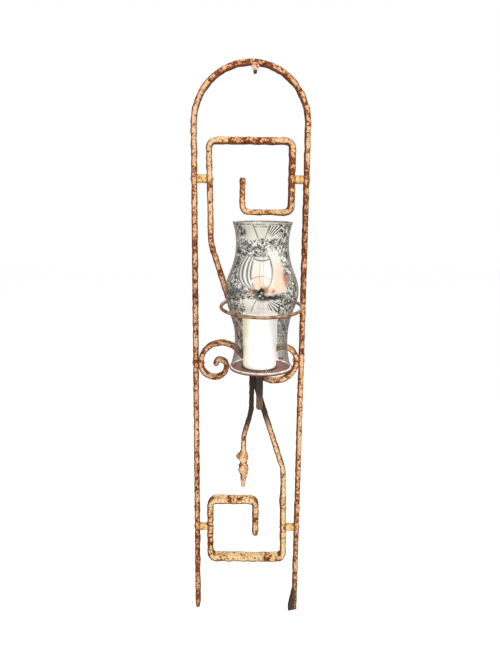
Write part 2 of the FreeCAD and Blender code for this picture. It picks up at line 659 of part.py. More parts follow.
def make_pan_arm():
    """A tab on the strap, a bend, and a run under the dish."""
    body = new_body("pan_arm", x="strap_reach")
    tab = f"-({STRAP_FRONT} + arm_thickness / 2)"
    path = new_sketch(body, "arm_path", "YZ_Plane")
    corners = ((tab, f"-{ARM_TAB}"), (tab, f"-{ARM_DROP}"), (f"-({GLASS_OUT} + arm_overrun)", f"-{ARM_DROP}"))
    edge_count = corner_path(path, corners, ("arm_bend",))
    section = new_sketch(body, "arm_section", "XY_Plane", f"-{ARM_TAB}")
    bar_section(section, "0", tab, "strap_width", "arm_thickness", "arm_ease")
    sweep(body, "arm_bar", section, path, edge_count, FreeCAD.Vector(1, 0, 0))
    drill(body, "arm_tab_holes", "XZ_Plane", f"{STRAP_FRONT} - drill_clearance",
          (("0", f"-{ARM_RIVET}"), ("0", f"-{STRAP_RIVET}")), "arm_thickness + 2 * drill_clearance",
          along_normal=True)
    drill(body, "arm_pan_hole", "XY_Plane", f"-({ARM_DROP} - arm_thickness)",
          (("0", f"-{GLASS_OUT}"),), "2 * arm_thickness")


def make_rivet(label, grip, x, y, z, turn, second_head=True):
    """A shank with a hammered dome at its start, and one at its end unless that is flush."""
    body = new_body(label, x, y, z, turn)
    outline = new_sketch(body, f"{label}_outline", "XZ_Plane")
    head = number("rivet_head_radius")
    rise = number("rivet_head_height")
    dome = (head * head + rise * rise) / (2 * rise)
    up = FreeCAD.Vector(0, 0, 1)
    spread = math.asin(head / dome)
    length = number(grip)
    shank = number("rivet_radius")

    def straight(*points):
        spots = [FreeCAD.Vector(px, py, 0) for px, py in points]
        return [outline.addGeometry(Part.LineSegment(a, b)) for a, b in zip(spots, spots[1:])]

    centre = FreeCAD.Vector(0, dome - rise, 0)
    start = outline.addGeometry(Part.ArcOfCircle(Part.Circle(centre, up, dome), -math.pi / 2,
                                                 -math.pi / 2 + spread))
    if second_head:
        lines = straight((head, 0), (shank, 0), (shank, length), (head, length))
        centre = FreeCAD.Vector(0, length + rise - dome, 0)
        finish = outline.addGeometry(Part.ArcOfCircle(Part.Circle(centre, up, dome),
                                                      math.pi / 2 - spread, math.pi / 2))
        axis = straight((0, length + rise), (0, -rise))[0]
        ring = [start] + lines + [finish, axis]
    else:
        lines = straight((head, 0), (shank, 0), (shank, length), (0, length))
        axis = straight((0, length), (0, -rise))[0]
        ring = [start] + lines + [axis]
    for before, after in zip(ring, ring[1:] + ring[:1]):
        outline.addConstraint(Sketcher.Constraint("Coincident", before, 2, after, 1))
    place_point(outline, start, 2, "rivet_head_radius", "0")
    place_point(outline, start, 1, "0", "-rivet_head_height")
    outline.addConstraint(Sketcher.Constraint("PointOnObject", start, 3, -2))
    place_point(outline, lines[0], 2, "rivet_radius", "0")
    place_point(outline, lines[1], 2, "rivet_radius", grip)
    if second_head:
        place_point(outline, lines[2], 2, "rivet_head_radius", grip)
        place_point(outline, finish, 2, "0", f"{grip} + rivet_head_height")
        outline.addConstraint(Sketcher.Constraint("PointOnObject", finish, 3, -2))
    else:
        place_point(outline, lines[2], 2, "0", grip)
    turn_round(body, "Revolution", f"{label}_round", outline)


ALONG_X = FreeCAD.Rotation(FreeCAD.Vector(0, 1, 0), 90)
ALONG_Y = FreeCAD.Rotation(FreeCAD.Vector(1, 0, 0), -90)
UPWARDS = FreeCAD.Rotation()


def rod_reach(level, side):
    """How far out a scroll rod's middle line stands where a spacer meets it."""
    if (level, side) == ("upper", "left"):
        share = f"upper_spacer_fall / ({UPPER_KNEE} - upper_scroll_drop)"
        return f"(scroll_reach - knee_inset * {share})"
    if (level, side) == ("lower", "right"):
        share = f"({LOWER_LOW} - {LOWER_SPACER}) / ({LOWER_LOW} - {LOWER_KNEE})"
        return f"(scroll_reach - knee_inset * {share})"
    return "scroll_reach"


def make_spacer(level, side):
    """A short round sleeve between leg and rod, and the rivet through all three."""
    rod = rod_reach(level, side)
    drop = UPPER_SPACER if level == "upper" else LOWER_SPACER
    length = f"({LEG_INSIDE} - {rod} - bar_width / 2 - seat_gap)"
    body_x = f"-{LEG_INSIDE}" if side == "left" else f"{LEG_INSIDE} - {length}"
    body = new_body(f"spacer_sleeve_{level}_{side}", body_x, f"-{MID_DEPTH}", f"-{drop}", ALONG_X)
    outline = new_sketch(body, f"sleeve_{level}_{side}_outline", "XZ_Plane")
    closed_outline(outline, (
        (HOLE, "0"),
        ("spacer_radius - spacer_ease", "0"),
        ("spacer_radius", "spacer_ease"),
        ("spacer_radius", f"{length} - spacer_ease"),
        ("spacer_radius - spacer_ease", length),
        (HOLE, length),
    ))
    turn_round(body, "Revolution", f"sleeve_{level}_{side}", outline)
    grip = f"({LEG_OUTSIDE} - {rod} + bar_width / 2 + seat_gap)"
    rivet_x = f"-{LEG_OUTSIDE}" if side == "left" else f"{LEG_OUTSIDE} - {grip}"
    make_rivet(f"spacer_rivet_{level}_{side}", grip, rivet_x, f"-{MID_DEPTH}", f"-{drop}", ALONG_X)


def make_curl_rivets():
    """The inner head stands on the hollow of the curl, so it seats on the head's own edge."""
    hollow = "(curl_radius_b - curl_width / 2)"
    sag = f"({hollow} - sqrt({hollow} ^ 2 - rivet_head_radius ^ 2))"
    grip = f"(bar_width + curl_width + {sag} + seat_gap)"
    make_rivet("scroll_rivet_left", grip, f"-{LEG_OUTSIDE}", f"-{MID_DEPTH}",
               f"-{CROSSING} + {CURL_RIVET_RISE}", ALONG_X)
    make_rivet("scroll_rivet_right", grip, f"{LEG_OUTSIDE} - {grip}", f"-{MID_DEPTH}",
               f"-{CROSSING} - {CURL_RIVET_RISE}", ALONG_X)


def make_strap_rivets():
    """One holds arm, strap and S-scroll together, one the arm and the strap, one the dish."""
    arm_front = f"-({STRAP_FRONT} + arm_thickness)"
    make_rivet("strap_rivet", f"({STRAP_FRONT} + arm_thickness - flush_gap)", "strap_reach", arm_front,
               f"-{STRAP_RIVET}", ALONG_Y, second_head=False)
    make_rivet("arm_rivet", "(strap_thickness + arm_thickness)", "strap_reach", arm_front,
               f"-{ARM_RIVET}", ALONG_Y)
    make_rivet("pan_rivet", "(arm_thickness + pan_thickness - flush_gap)", "strap_reach", f"-{GLASS_OUT}",
               f"-({ARM_DROP} + arm_thickness / 2)", UPWARDS, second_head=False)


def glass_rings():
    """The glass's rings from its foot up: name, height, outer radius. Most stand between two named ones."""
    heights = {"base": "0", "neck": "glass_neck_height"}
    heights["belly"] = "(glass_neck_height + glass_belly_height)"
    heights["throat"] = f"({heights['belly']} + glass_throat_height)"
    heights["rim"] = f"({heights['throat']} + glass_rim_height)"
    rings = [("base", heights["base"], "glass_base_radius")]
    for low, high, between in (
        ("base", "neck", ((0.22, 0.4), (0.55, 0.81))),
        ("neck", "belly", ((0.3, 0.12), (0.58, 0.465), (0.79, 0.84))),
        ("belly", "throat", ((0.22, 0.14), (0.45, 0.54), (0.7, 0.86))),
        ("throat", "rim", ((0.4, 0.15), (0.71, 0.475))),
    ):
        for index, (rise, spread) in enumerate(between, start=1):
            height = f"({heights[low]} + {rise} * ({heights[high]} - {heights[low]}))"
            radius = f"(glass_{low}_radius + {spread} * (glass_{high}_radius - glass_{low}_radius))"
            rings.append((f"{high}_{index}", height, radius))
        rings.append((high, heights[high], f"glass_{high}_radius"))
    return rings


def make_hurricane_glass():
    """A smooth skin through the glass's rings, hollowed by the same skin one wall further in."""
    body = new_body("hurricane_glass", x="strap_reach", y=f"-{GLASS_OUT}", z=f"-{PAN_FLOOR} + rest_gap")
    for name, kind, inset in (("blank", "AdditiveLoft", "0"), ("hollow", "SubtractiveLoft", "glass_wall")):
        sections = []
        for place, height, radius in glass_rings():
            ring = new_sketch(body, f"glass_{name}_{place}", "XY_Plane", height)
            circle(ring, "0", "0", f"{radius} - {inset}")
            sections.append(ring)
        loft = body.newObject(f"PartDesign::{kind}", f"glass_{name}")
        loft.Profile = sections[0]
        loft.Sections = sections[1:]


def make_candle():
    wax = new_body("candle_wax", "strap_reach - candle_offset", f"-{GLASS_OUT}", f"-{PAN_FLOOR} + rest_gap")
    outline = new_sketch(wax, "wax_outline", "XZ_Plane")
    bore = "(wick_radius + wick_gap)"
    closed_outline(outline, (
        ("0", "0"),
        ("candle_radius - candle_foot_round", "0"),
        ("candle_radius", "candle_foot_round"),
        ("candle_radius", "candle_height - candle_top_round"),
        ("candle_radius - candle_top_round", "candle_height"),
        (bore, "candle_height"),
        (bore, "candle_height - wick_depth"),
        ("0", "candle_height - wick_depth"),
    ))
    turn_round(wax, "Revolution", "wax_round", outline)
    wick_foot = f"-{PAN_FLOOR} + rest_gap + candle_height - wick_depth"
    wick = new_body("candle_wick", "strap_reach - candle_offset", f"-{GLASS_OUT}", wick_foot)
    round_outline = new_sketch(wick, "wick_outline", "XY_Plane")
    circle(round_outline, "0", "0", "wick_radius")
    pad(wick, "wick_cord", round_outline, "wick_depth + wick_rise")


make_hanging_screw()
make_arch_frame()
make_scroll_rods()
make_s_scroll()
make_torch_tail()
make_back_strap()
make_glass_ring()
make_candle_pan()
make_pan_arm()
for spacer_level in ("upper", "lower"):
    for spacer_side in ("left", "right"):
        make_spacer(spacer_level, spacer_side)
make_curl_rivets()
make_strap_rivets()
make_hurricane_glass()
make_candle()
doc.recompute()

for item in doc.Objects:
    if "Invalid" in item.State or "Error" in item.State:
        raise RuntimeError(f"{item.Name} failed: {item.State}")
for item in doc.Objects:
    if item.TypeId in ("PartDesign::Pocket", "PartDesign::SubtractiveLoft"):
        if item.Shape.Volume > item.BaseFeature.Shape.Volume - 0.5:
            raise RuntimeError(f"{item.Name} cuts nothing")

pieces = [item for item in doc.Objects if item.TypeId in ("PartDesign::Body", "Part::Torus")]
for piece in pieces:
    if piece.Shape.isNull() or not piece.Shape.isValid():
        raise RuntimeError(f"{piece.Label} has no valid shape")
    if len(piece.Shape.Solids) != 1:
        raise RuntimeError(f"{piece.Label} has {len(piece.Shape.Solids)} solids")
os.makedirs("parts", exist_ok=True)
for piece in pieces:
    piece.Shape.exportStep(f"parts/{piece.Label}.step")
    print(piece.Label, round(piece.Shape.Volume))
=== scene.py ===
"""The looks of a hammered iron candle sconce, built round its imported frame.

Metres. +X is right seen from the room, +Y goes into the wall, +Z is up, and the origin is where the
hanging screw meets the wall.
"""

import math

import bmesh
import bpy
import numpy
from bpy.props import FloatProperty, FloatVectorProperty, PointerProperty
from bpy.types import Operator, Panel, PropertyGroup
from mathutils import Matrix, Vector, noise


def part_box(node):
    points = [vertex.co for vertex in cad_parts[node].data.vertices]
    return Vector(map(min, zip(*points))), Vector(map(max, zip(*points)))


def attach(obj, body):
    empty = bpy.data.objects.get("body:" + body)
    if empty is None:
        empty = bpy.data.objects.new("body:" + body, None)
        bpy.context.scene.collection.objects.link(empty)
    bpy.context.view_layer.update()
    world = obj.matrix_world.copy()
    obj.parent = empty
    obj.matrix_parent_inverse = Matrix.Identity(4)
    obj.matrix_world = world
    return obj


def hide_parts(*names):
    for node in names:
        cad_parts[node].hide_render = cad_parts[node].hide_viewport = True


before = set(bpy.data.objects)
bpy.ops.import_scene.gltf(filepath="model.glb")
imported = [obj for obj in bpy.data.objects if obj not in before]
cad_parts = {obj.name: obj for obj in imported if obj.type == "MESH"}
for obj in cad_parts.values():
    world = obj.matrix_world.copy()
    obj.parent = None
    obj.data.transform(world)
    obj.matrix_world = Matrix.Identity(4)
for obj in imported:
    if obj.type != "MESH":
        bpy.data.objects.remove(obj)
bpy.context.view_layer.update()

bl_info = {
    "name": "Hammered Candle Sconce",
    "version": (1, 0, 0),
    "blender": (4, 5, 0),
    "location": "3D View > Sidebar > Sconce",
    "description": "Dresses a wall-hung iron candle sconce with paint, glass and wax",
    "category": "Object",
}

MM = 0.001
PIXELS = (500, 667)
SENSOR = 36.0

GLASS_LOW, GLASS_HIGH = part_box("hurricane_glass")
WAX_LOW, WAX_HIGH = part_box("candle_wax")
WICK_LOW, WICK_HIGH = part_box("candle_wick")
PAN_LOW, PAN_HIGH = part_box("candle_pan")
RING_LOW, RING_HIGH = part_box("glass_ring")
STRAP_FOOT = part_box("back_strap")[0].z

# the hurricane glass outside, upwards from its foot: height and radius in millimetres
GLASS_PROFILE = (
    (0.0, 48.4), (10.0, 45.4), (22.5, 42.4), (45.0, 40.9), (60.0, 41.9), (75.0, 44.2),
    (90.0, 48.6), (104.0, 54.1), (113.0, 56.5), (122.0, 57.2), (131.0, 56.4), (141.0, 53.9),
    (156.0, 46.9), (175.0, 41.5), (193.5, 39.7), (210.0, 41.1), (220.0, 43.4), (227.0, 45.6),
)
GLASS_WALL = 2.5 * MM

# the free ends of the two square scrolls
HOOK_TIPS = (Vector((-18.5, -7.0, -165.0)) * MM, Vector((9.0, -7.0, -798.0)) * MM)
TIP_REACH = 9.5 * MM
TIP_TURNS = 26

# where the carved flame begins on the tail
FLAME_TOP = -629 * MM

# where the bars are more worn (above 0) or keep more cream (below 0): x, z and reach in millimetres, amount
WORN_PLACES = (
    (0, 5, 60, 0.05), (-45, -12, 40, 0.05), (-92, -85, 45, -0.04), (70, -45, 50, 0.03),
    (-96, -300, 90, 0.03), (-96, -860, 75, 0.07), (84, -250, 90, 0.03), (84, -700, 110, 0.05),
    (-6, -108, 48, 0.08), (-70, -112, 20, -0.07), (60, -165, 38, 0.03), (60, -112, 14, -0.06),
    (-18, -185, 28, 0.05), (-14, -219, 16, -0.07), (52, -218, 18, -0.06), (-72, -200, 40, -0.05),
    (-72, -260, 50, -0.02), (56, -640, 75, -0.11), (-34, -729, 40, -0.09), (-4, -843, 62, -0.09),
    (60, -786, 40, -0.03), (-20, -665, 34, -0.07), (-32, -729, 13, 0.10), (30, -845, 18, 0.09),
    (9, -765, 22, 0.05), (-72, -786, 34, 0.03), (-62, -560, 42, -0.06), (62, -560, 42, -0.04),
    (-96, -945, 22, 0.10),
)

# where the bars are stouter: x, z, half width and half height in millimetres, amount in millimetres
STOUT_PLACES = (
    (-6, -108, 58, 10, 1.0), (60, -165, 12, 60, 0.9), (-6, -729, 66, 9, 1.7), (-6, -843, 66, 9, 2.0),
    (-72, -786, 9, 52, 0.8), (60, -786, 9, 56, 0.9), (9, -765, 9, 34, 1.1),
)

# the painted reflection of a barrel-shaped window on the glass: its middle height, its half height and its
# half width in degrees
REFLECTED_WINDOW = (159.5, 28.5, 19.6)

# painted reflections of dark leading and white stripes left of the window: place and half width, where the
# window's edge is at -1
REFLECTED_LEADING = ((-1.37, 0.19), (-1.87, 0.22), (-2.3, 0.2))
REFLECTED_STRIPES = ((-1.18, 0.18), (-1.62, 0.3), (-2.1, 0.24))

# painted reflections in fans of thin lines: the root's angle and height, upwards or downwards, first and last
# slant in degrees
REFLECTED_FANS = ((7, 203, 1, 6, 58), (3.5, 120, -1, 16, 66))
FAN_PERIOD = 11

# dark clots and burnt spots: angle and its reach in degrees, height and its reach in millimetres, strength
CLOTS = ((-5, 15, 129, 10, 1.9), (10, 30, 119, 7, 1.4), (-50, 26, 124, 12, 1), (-40, 8, 214, 11, 1))
BURNT = ((5, 8, 131, 8, 1.6), (16.5, 5, 129.4, 5, 1.6), (-14.6, 8, 128, 7, 1.5), (-50, 6, 68, 18, 1))
BURNT_FLECKS = ((41.5, 8, 145, 15, 2.4),)

RING_WIRE = 2.75 * MM
RING_TILT = math.radians(4.5)
RIM_WIRE = 1.15 * MM
DISH_FLOOR = 2.0 * MM
DISH_WALL = 1.2 * MM

LAMP_AIM = (0, 0, -0.45)
LAMP_SIZE = 1.3
FLOOR_GREY = (0.7, 0.7, 0.7)
FLOOR_HALF_WIDTH = 12


def srgb(red, green, blue):
    """A colour as a paint chart gives it, from 0 to 255, in the scene's linear light."""
    def linear(part):
        part /= 255
        return part / 12.92 if part <= 0.04045 else ((part + 0.055) / 1.055) ** 2.4
    return linear(red), linear(green), linear(blue)


def colour_setting(name, description, red, green, blue):
    return FloatVectorProperty(name=name, description=description, default=srgb(red, green, blue),
                               size=3, min=0, max=1, subtype="COLOR")


def length_setting(name, description, millimetres):
    return FloatProperty(name=name, description=description, default=millimetres * MM,
                         min=0, unit="LENGTH")


def plain_setting(name, description, amount):
    return FloatProperty(name=name, description=description, default=amount, min=0)


class SCONCE_PG_bars(PropertyGroup):
    """The hammered bars and their worn paint."""
    hammer_pitch: length_setting("Hammer pitch", "Distance between hammer marks", 11.0)
    hammer_depth: length_setting("Hammer depth", "Depth of a hammer mark", 0.9)
    ripple_pitch: length_setting("Ripple pitch", "Distance between the small ripples", 4.4)
    ripple_depth: length_setting("Ripple depth", "Depth of the small ripples", 0.42)
    swell: length_setting("Swell", "Thickness of paint and rust over the drawn bar", 0.3)
    groove_depth: length_setting("Groove depth", "Depth of the flame's twisted grooves", 1.7)
    bulge: length_setting("Bulge", "How far the flame's two bulges stand out", 2.0)
    skin_grain: length_setting("Skin grain", "Grain of the bars' mesh", 1.1)
    fine_grain: length_setting("Fine grain", "Grain of the carved flame's mesh", 0.55)
    cream: colour_setting("Cream", "Old top coat of paint", 255, 226, 166)
    blush: colour_setting("Blush", "Top coat reddened by the rust under it", 246, 196, 150)
    ochre: colour_setting("Ochre", "Stained paint round the worn patches", 226, 156, 98)
    rust: colour_setting("Rust", "Bare rusted iron", 160, 84, 44)
    # dark is also the deepest painted shade on the bars' edges
    dark: colour_setting("Dark", "Deep pits and edges", 58, 26, 12)
    # painted shadow: the colour of the bars in the dish's shadow and on the right foot's inner flare
    painted_shadow: colour_setting("Soot", "Bare iron under the dish", 68, 54, 42)


class SCONCE_PG_glass(PropertyGroup):
    """The hurricane glass."""
    smoke: colour_setting("Smoke", "Grey of the glass where it is seen edge on", 140, 124, 110)
    # pale, throat and peach colour the painted reflections in the glass's pale panes
    pale: colour_setting("Pale", "Lustre on the glass's clear panels", 240, 238, 222)
    throat: colour_setting("Throat", "Greyer lustre above the throat", 232, 226, 206)
    peach: colour_setting("Peach", "Warm lustre low on the belly", 250, 216, 186)
    amber: colour_setting("Amber", "Burnt spots in the lustre", 206, 124, 70)
    crackle_dark: colour_setting("Dark crackle", "Dark marks of the crackle", 46, 42, 34)
    crackle_mid: colour_setting("Grey crackle", "Ground colour of the crackle", 150, 144, 128)
    crackle_light: colour_setting("Light crackle", "Light marks of the crackle", 255, 252, 240)
    crackle_pitch: length_setting("Crackle pitch", "Size of one crackle mark", 4.7)
    foot_smoke: colour_setting("Foot smoke", "Dark grey low on the glass", 74, 68, 58)
    # bead is also the colour of the glass's white painted highlights
    bead: colour_setting("Foot bead", "Ground edge of the glass's foot", 250, 246, 238)


class SCONCE_PG_fittings(PropertyGroup):
    """Ring, dish, strap, spacers and screw."""
    bronze: colour_setting("Bronze", "The ring's rubbed coat", 200, 156, 114)
    bronze_dark: colour_setting("Dark bronze", "The ring's shaded coat", 122, 78, 50)
    dish: colour_setting("Dish", "Rust brown of the candle dish", 168, 82, 58)
    # painted contact shadow round the candle's foot
    candle_contact_shadow: colour_setting("Soot ring", "Burnt wax round the candle's foot", 26, 16, 12)
    dish_dark: colour_setting("Dark dish", "Scorched brown of the candle dish", 62, 34, 28)
    # painted highlight on the dish's outer rim, over its rubbed edge
    rubbed_rim_highlight: colour_setting("Dish edge", "Rubbed grey-brown edge of the dish", 176, 150, 132)
    # the strap's dark colour also stands for the dish's painted shadow over the strap and arm
    strap: colour_setting("Strap", "Bare iron of the strap and arm", 66, 54, 44)
    # this colour is also the painted light on the strap's end below the dish's shadow
    strap_worn_and_lit: colour_setting("Worn strap", "Rubbed end of the strap", 136, 100, 72)
    spacer: colour_setting("Spacer", "Yellowed cream of the spacers", 253, 222, 142)
    screw: colour_setting("Screw", "Pinkish cream of the screw's head", 238, 208, 184)
    screw_dish: colour_setting("Screw dish", "Browned hollow of the screw's head", 196, 150, 118)
    screw_shade: colour_setting("Screw shade", "Dark shank behind the screw's head", 29, 24, 22)


class SCONCE_PG_candle(PropertyGroup):
    """The pillar candle."""
    wax: colour_setting("Wax", "Ivory wax", 255, 254, 248)
    # warm wax is also the painted shade on the candle's left side
    wax_warm_and_shaded: colour_setting("Warm wax", "Yellowed side of the wax", 255, 252, 214)
    # painted glow: the unlit wax emits its own colour
    glow: plain_setting("Glow", "Light that soaks through the wax", 0.5)
    wick: colour_setting("Wick", "Unlit cotton wick", 250, 246, 234)
    wick_shade: colour_setting("Wick shade", "Hollows between the wick's strands", 206, 200, 188)


class SCONCE_PG_stage(PropertyGroup):
    """Camera, light and floor."""
    camera: FloatVectorProperty(name="Camera", description="Where the camera stands",
                                default=(-4.0 * MM, -1044.6 * MM, -184.2 * MM), subtype="TRANSLATION")
    pitch: FloatProperty(name="Pitch", description="How far the camera looks down",
                         default=math.radians(12.88), subtype="ANGLE")
    roll: FloatProperty(name="Roll", description="How far the camera leans to the left",
                        default=math.radians(0.6), subtype="ANGLE")
    focal_pixels: plain_setting("Focal length", "Focal length in pixels of the photograph", 628.0)
    key_light: plain_setting("Key light", "Watts of the large lamp at the right, above", 39.0)
    fill_light: plain_setting("Fill light", "Watts of the lamp at the left, low", 11.0)
    back_light: plain_setting("Back light", "Watts of the lamp behind, above", 14.0)
    room_light: plain_setting("Room light", "Light from all round", 0.30)
    floor_white: plain_setting("Floor white", "How much whiter the camera sees the floor", 0.78)
    floor_drop: length_setting("Floor drop", "How far the floor lies under the screw", 1750)


def math_node(operation, reflected=False):
    """A method of Field that adds a Math node."""
    def method(self, other):
        first, second = (other, self) if reflected else (self, other)
        return self.math(operation, first, second)
    return method


class Field:
    """A number that changes over a surface. Sums and products of it add Math nodes."""

    def __init__(self, shader, socket):
        self.shader = shader
        self.socket = socket

    def math(self, operation, first, second=None):
        values = {0: first} if second is None else {0: first, 1: second}
        return self.shader.node("ShaderNodeMath", {"operation": operation}, values, "Value")

    __add__ = math_node("ADD")
    __radd__ = math_node("ADD", reflected=True)
    __sub__ = math_node("SUBTRACT")
    __rsub__ = math_node("SUBTRACT", reflected=True)
    __mul__ = math_node("MULTIPLY")
    __rmul__ = math_node("MULTIPLY", reflected=True)
    __truediv__ = math_node("DIVIDE")
    __rtruediv__ = math_node("DIVIDE", reflected=True)
    __pow__ = math_node("POWER")
    most = math_node("MAXIMUM")
    least = math_node("MINIMUM")

    def __abs__(self):
        return self.math("ABSOLUTE", self)

    def ramp(self, low, high):
        """0 below "low", 1 above "high", and smooth between; the other way round if low is the larger."""
        return self.shader.node("ShaderNodeMapRange", {"interpolation_type": "SMOOTHSTEP"},
                                {"Value": self, "From Min": low, "From Max": high}, "Result")

    def bump_at(self, middle, width):
        """1 at "middle", falling to 0 at "width" from it."""
        return abs(self - middle).ramp(width, 0.0)

    def within(self, start, full, until, end):
        """1 from "full" to "until", falling to 0 at "start" and "end"."""
        return self.ramp(start, full) * self.ramp(end, until)


class Shader:
    """The nodes of one material or world. Every node of the file is added here."""

    def __init__(self, owner):
        self.owner = owner
        owner.use_nodes = True
        self.tree = owner.node_tree
        self.tree.nodes.clear()

    @property
    def place(self):
        return self.node("ShaderNodeTexCoord", {}, {}, "Object")

    def node(self, kind, settings, values, output=None):
        """A node of any kind: its settings first, then its sockets' values or links."""
        node = self.tree.nodes.new(kind)
        for name, value in settings.items():
            setattr(node, name, value)
        for name, value in values.items():
            socket = node.inputs[name]
            if isinstance(value, Field):
                self.tree.links.new(value.socket, socket)
            elif socket.type == "RGBA" and len(value) == 3:
                socket.default_value = (*value, 1.0)
            else:
                socket.default_value = value
        return node if output is None else Field(self, node.outputs[output])

    def colour(self, factor, first, second):
        settings = {"data_type": "RGBA"}
        node = self.node("ShaderNodeMix", settings, {0: factor, 6: first, 7: second})
        return Field(self, node.outputs[2])

    def noise(self, pitch, detail=2.0, roughness=0.5, distortion=0.0, where=None):
        values = {"Vector": where or self.place, "Scale": 1 / pitch, "Detail": detail,
                  "Roughness": roughness, "Distortion": distortion}
        return self.node("ShaderNodeTexNoise", {}, values, "Fac")

    def attribute(self, name):
        return self.node("ShaderNodeAttribute", {"attribute_name": name}, {}, "Fac")

    def axes(self, where=None):
        node = self.node("ShaderNodeSeparateXYZ", {}, {"Vector": where or self.place})
        return [Field(self, socket) for socket in node.outputs]

    def warped(self, amount, pitch):
        """Object coordinates stirred by noise."""
        def vector(operation, values):
            return self.node("ShaderNodeVectorMath", {"operation": operation}, values, "Vector")
        values = {"Vector": self.place, "Scale": 1 / pitch, "Detail": 2.0}
        stir = self.node("ShaderNodeTexNoise", {}, values, "Color")
        stir = vector("SUBTRACT", {0: stir, 1: (0.5, 0.5, 0.5)})
        return vector("ADD", {0: self.place, 1: vector("SCALE", {0: stir, "Scale": amount})})

    def bump(self, height, distance, strength=1.0):
        return self.node("ShaderNodeBump", {}, {"Height": height, "Distance": distance, "Strength": strength},
                         "Normal")

    def surface(self, varying, steady=None):
        """The Principled shader: what varies and what is the same all over."""
        return self.node("ShaderNodeBsdfPrincipled", {}, {**varying, **(steady or {})}, "BSDF")

    def rim(self, start, full):
        """0 where the surface faces the viewer, 1 where it is seen edge on."""
        return self.node("ShaderNodeLayerWeight", {}, {"Blend": 0.5}, "Facing").ramp(start, full)

    def white_seen(self, plain, seen):
        """Shows "seen" to the camera, also through glass, and "plain" to the rest."""
        camera = self.node("ShaderNodeLightPath", {}, {}, "Is Camera Ray")
        through = self.node("ShaderNodeLightPath", {}, {}, "Is Transmission Ray")
        return self.node("ShaderNodeMixShader", {}, {0: camera.most(through), 1: plain, 2: seen}, "Shader")

    def painted(self, varying, steady=None):
        """The owner, finished with a Principled surface."""
        return self.finish(self.surface(varying, steady))

    def finish(self, shader, output="ShaderNodeOutputMaterial"):
        self.node(output, {}, {"Surface": shader})
        return self.owner


def new_shader(name):
    return Shader(bpy.data.materials.new(name))


def keep_numbers(mesh, name, values):
    """Keeps one number per vertex as an attribute."""
    mesh.attributes.new(name, "FLOAT", "POINT").data.foreach_set("value", values)


def new_piece(bm, name, material, body, stands_for=(), sharp_angle=None):
    """Finishes a bmesh as an object at the origin, puts it on its body and hides the CAD nodes it stands for.
    """
    mesh = bpy.data.meshes.new(name)
    bm.to_mesh(mesh)
    bm.free()
    mesh.shade_smooth()
    if sharp_angle is not None:
        mesh.set_sharp_from_angle(angle=math.radians(sharp_angle))
    mesh.materials.append(material)
    piece = bpy.data.objects.new(name, mesh)
    bpy.context.scene.collection.objects.link(piece)
    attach(piece, body)
    if stands_for:
        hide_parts(*stands_for)
    return piece


def applied(piece):
    """Puts the piece's modifiers into its mesh."""
    depsgraph = bpy.context.evaluated_depsgraph_get()
    mesh = bpy.data.meshes.new_from_object(piece.evaluated_get(depsgraph))
    piece.modifiers.clear()
    before = piece.data
    piece.data = mesh
    bpy.data.meshes.remove(before)


def reskinned(piece, grain):
    """Gives the piece an even mesh of small faces."""
    skin = piece.modifiers.new("Skin", "REMESH")
    skin.mode = "VOXEL"
    skin.voxel_size = grain
    applied(piece)


def curved(piece):
    """Halves the piece's faces so that they follow its curves."""
    curve = piece.modifiers.new("Smooth", "SUBSURF")
    curve.levels = 1
    curve.render_levels = 1
    applied(piece)


def node_copy(*nodes):
    """The merged meshes of CAD nodes, to be worked on."""
    bm = bmesh.new()
    for node in nodes:
        bm.from_mesh(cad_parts[node].data)
    bmesh.ops.remove_doubles(bm, verts=bm.verts, dist=0.01 * MM)
    return bm


def spun(profile, centre, steps, closed=False):
    """A bmesh of a profile of (radius, height) points turned about the upright line through "centre"."""
    bm = bmesh.new()
    verts = [bm.verts.new((centre.x + radius, centre.y, centre.z + height)) for radius, height in profile]
    pairs = list(zip(verts, verts[1:]))
    if closed:
        pairs.append((verts[-1], verts[0]))
    edges = [bm.edges.new(pair) for pair in pairs]
    bmesh.ops.spin(bm, geom=verts + edges, cent=centre, axis=(0, 0, 1), angle=math.tau,
                   steps=steps, use_merge=True)
    bmesh.ops.remove_doubles(bm, verts=bm.verts, dist=0.01 * MM)
    bmesh.ops.recalc_face_normals(bm, faces=bm.faces)
    return bm


def wire_section(radius, height, half, points=12):
    """The round section of a ring that "spun" turns."""
    turns = (math.tau * step / points for step in range(points))
    return [(radius + half * math.cos(turn), height + half * math.sin(turn)) for turn in turns]


def dented(verts, pitch, depth):
    """Dents finished vertices inwards all over."""
    for vert in verts:
        vert.co -= vert.normal * (noise.noise(vert.co / pitch) * 0.5 + 0.5) * depth


# ---------------------------------------------------------------- hammered bars

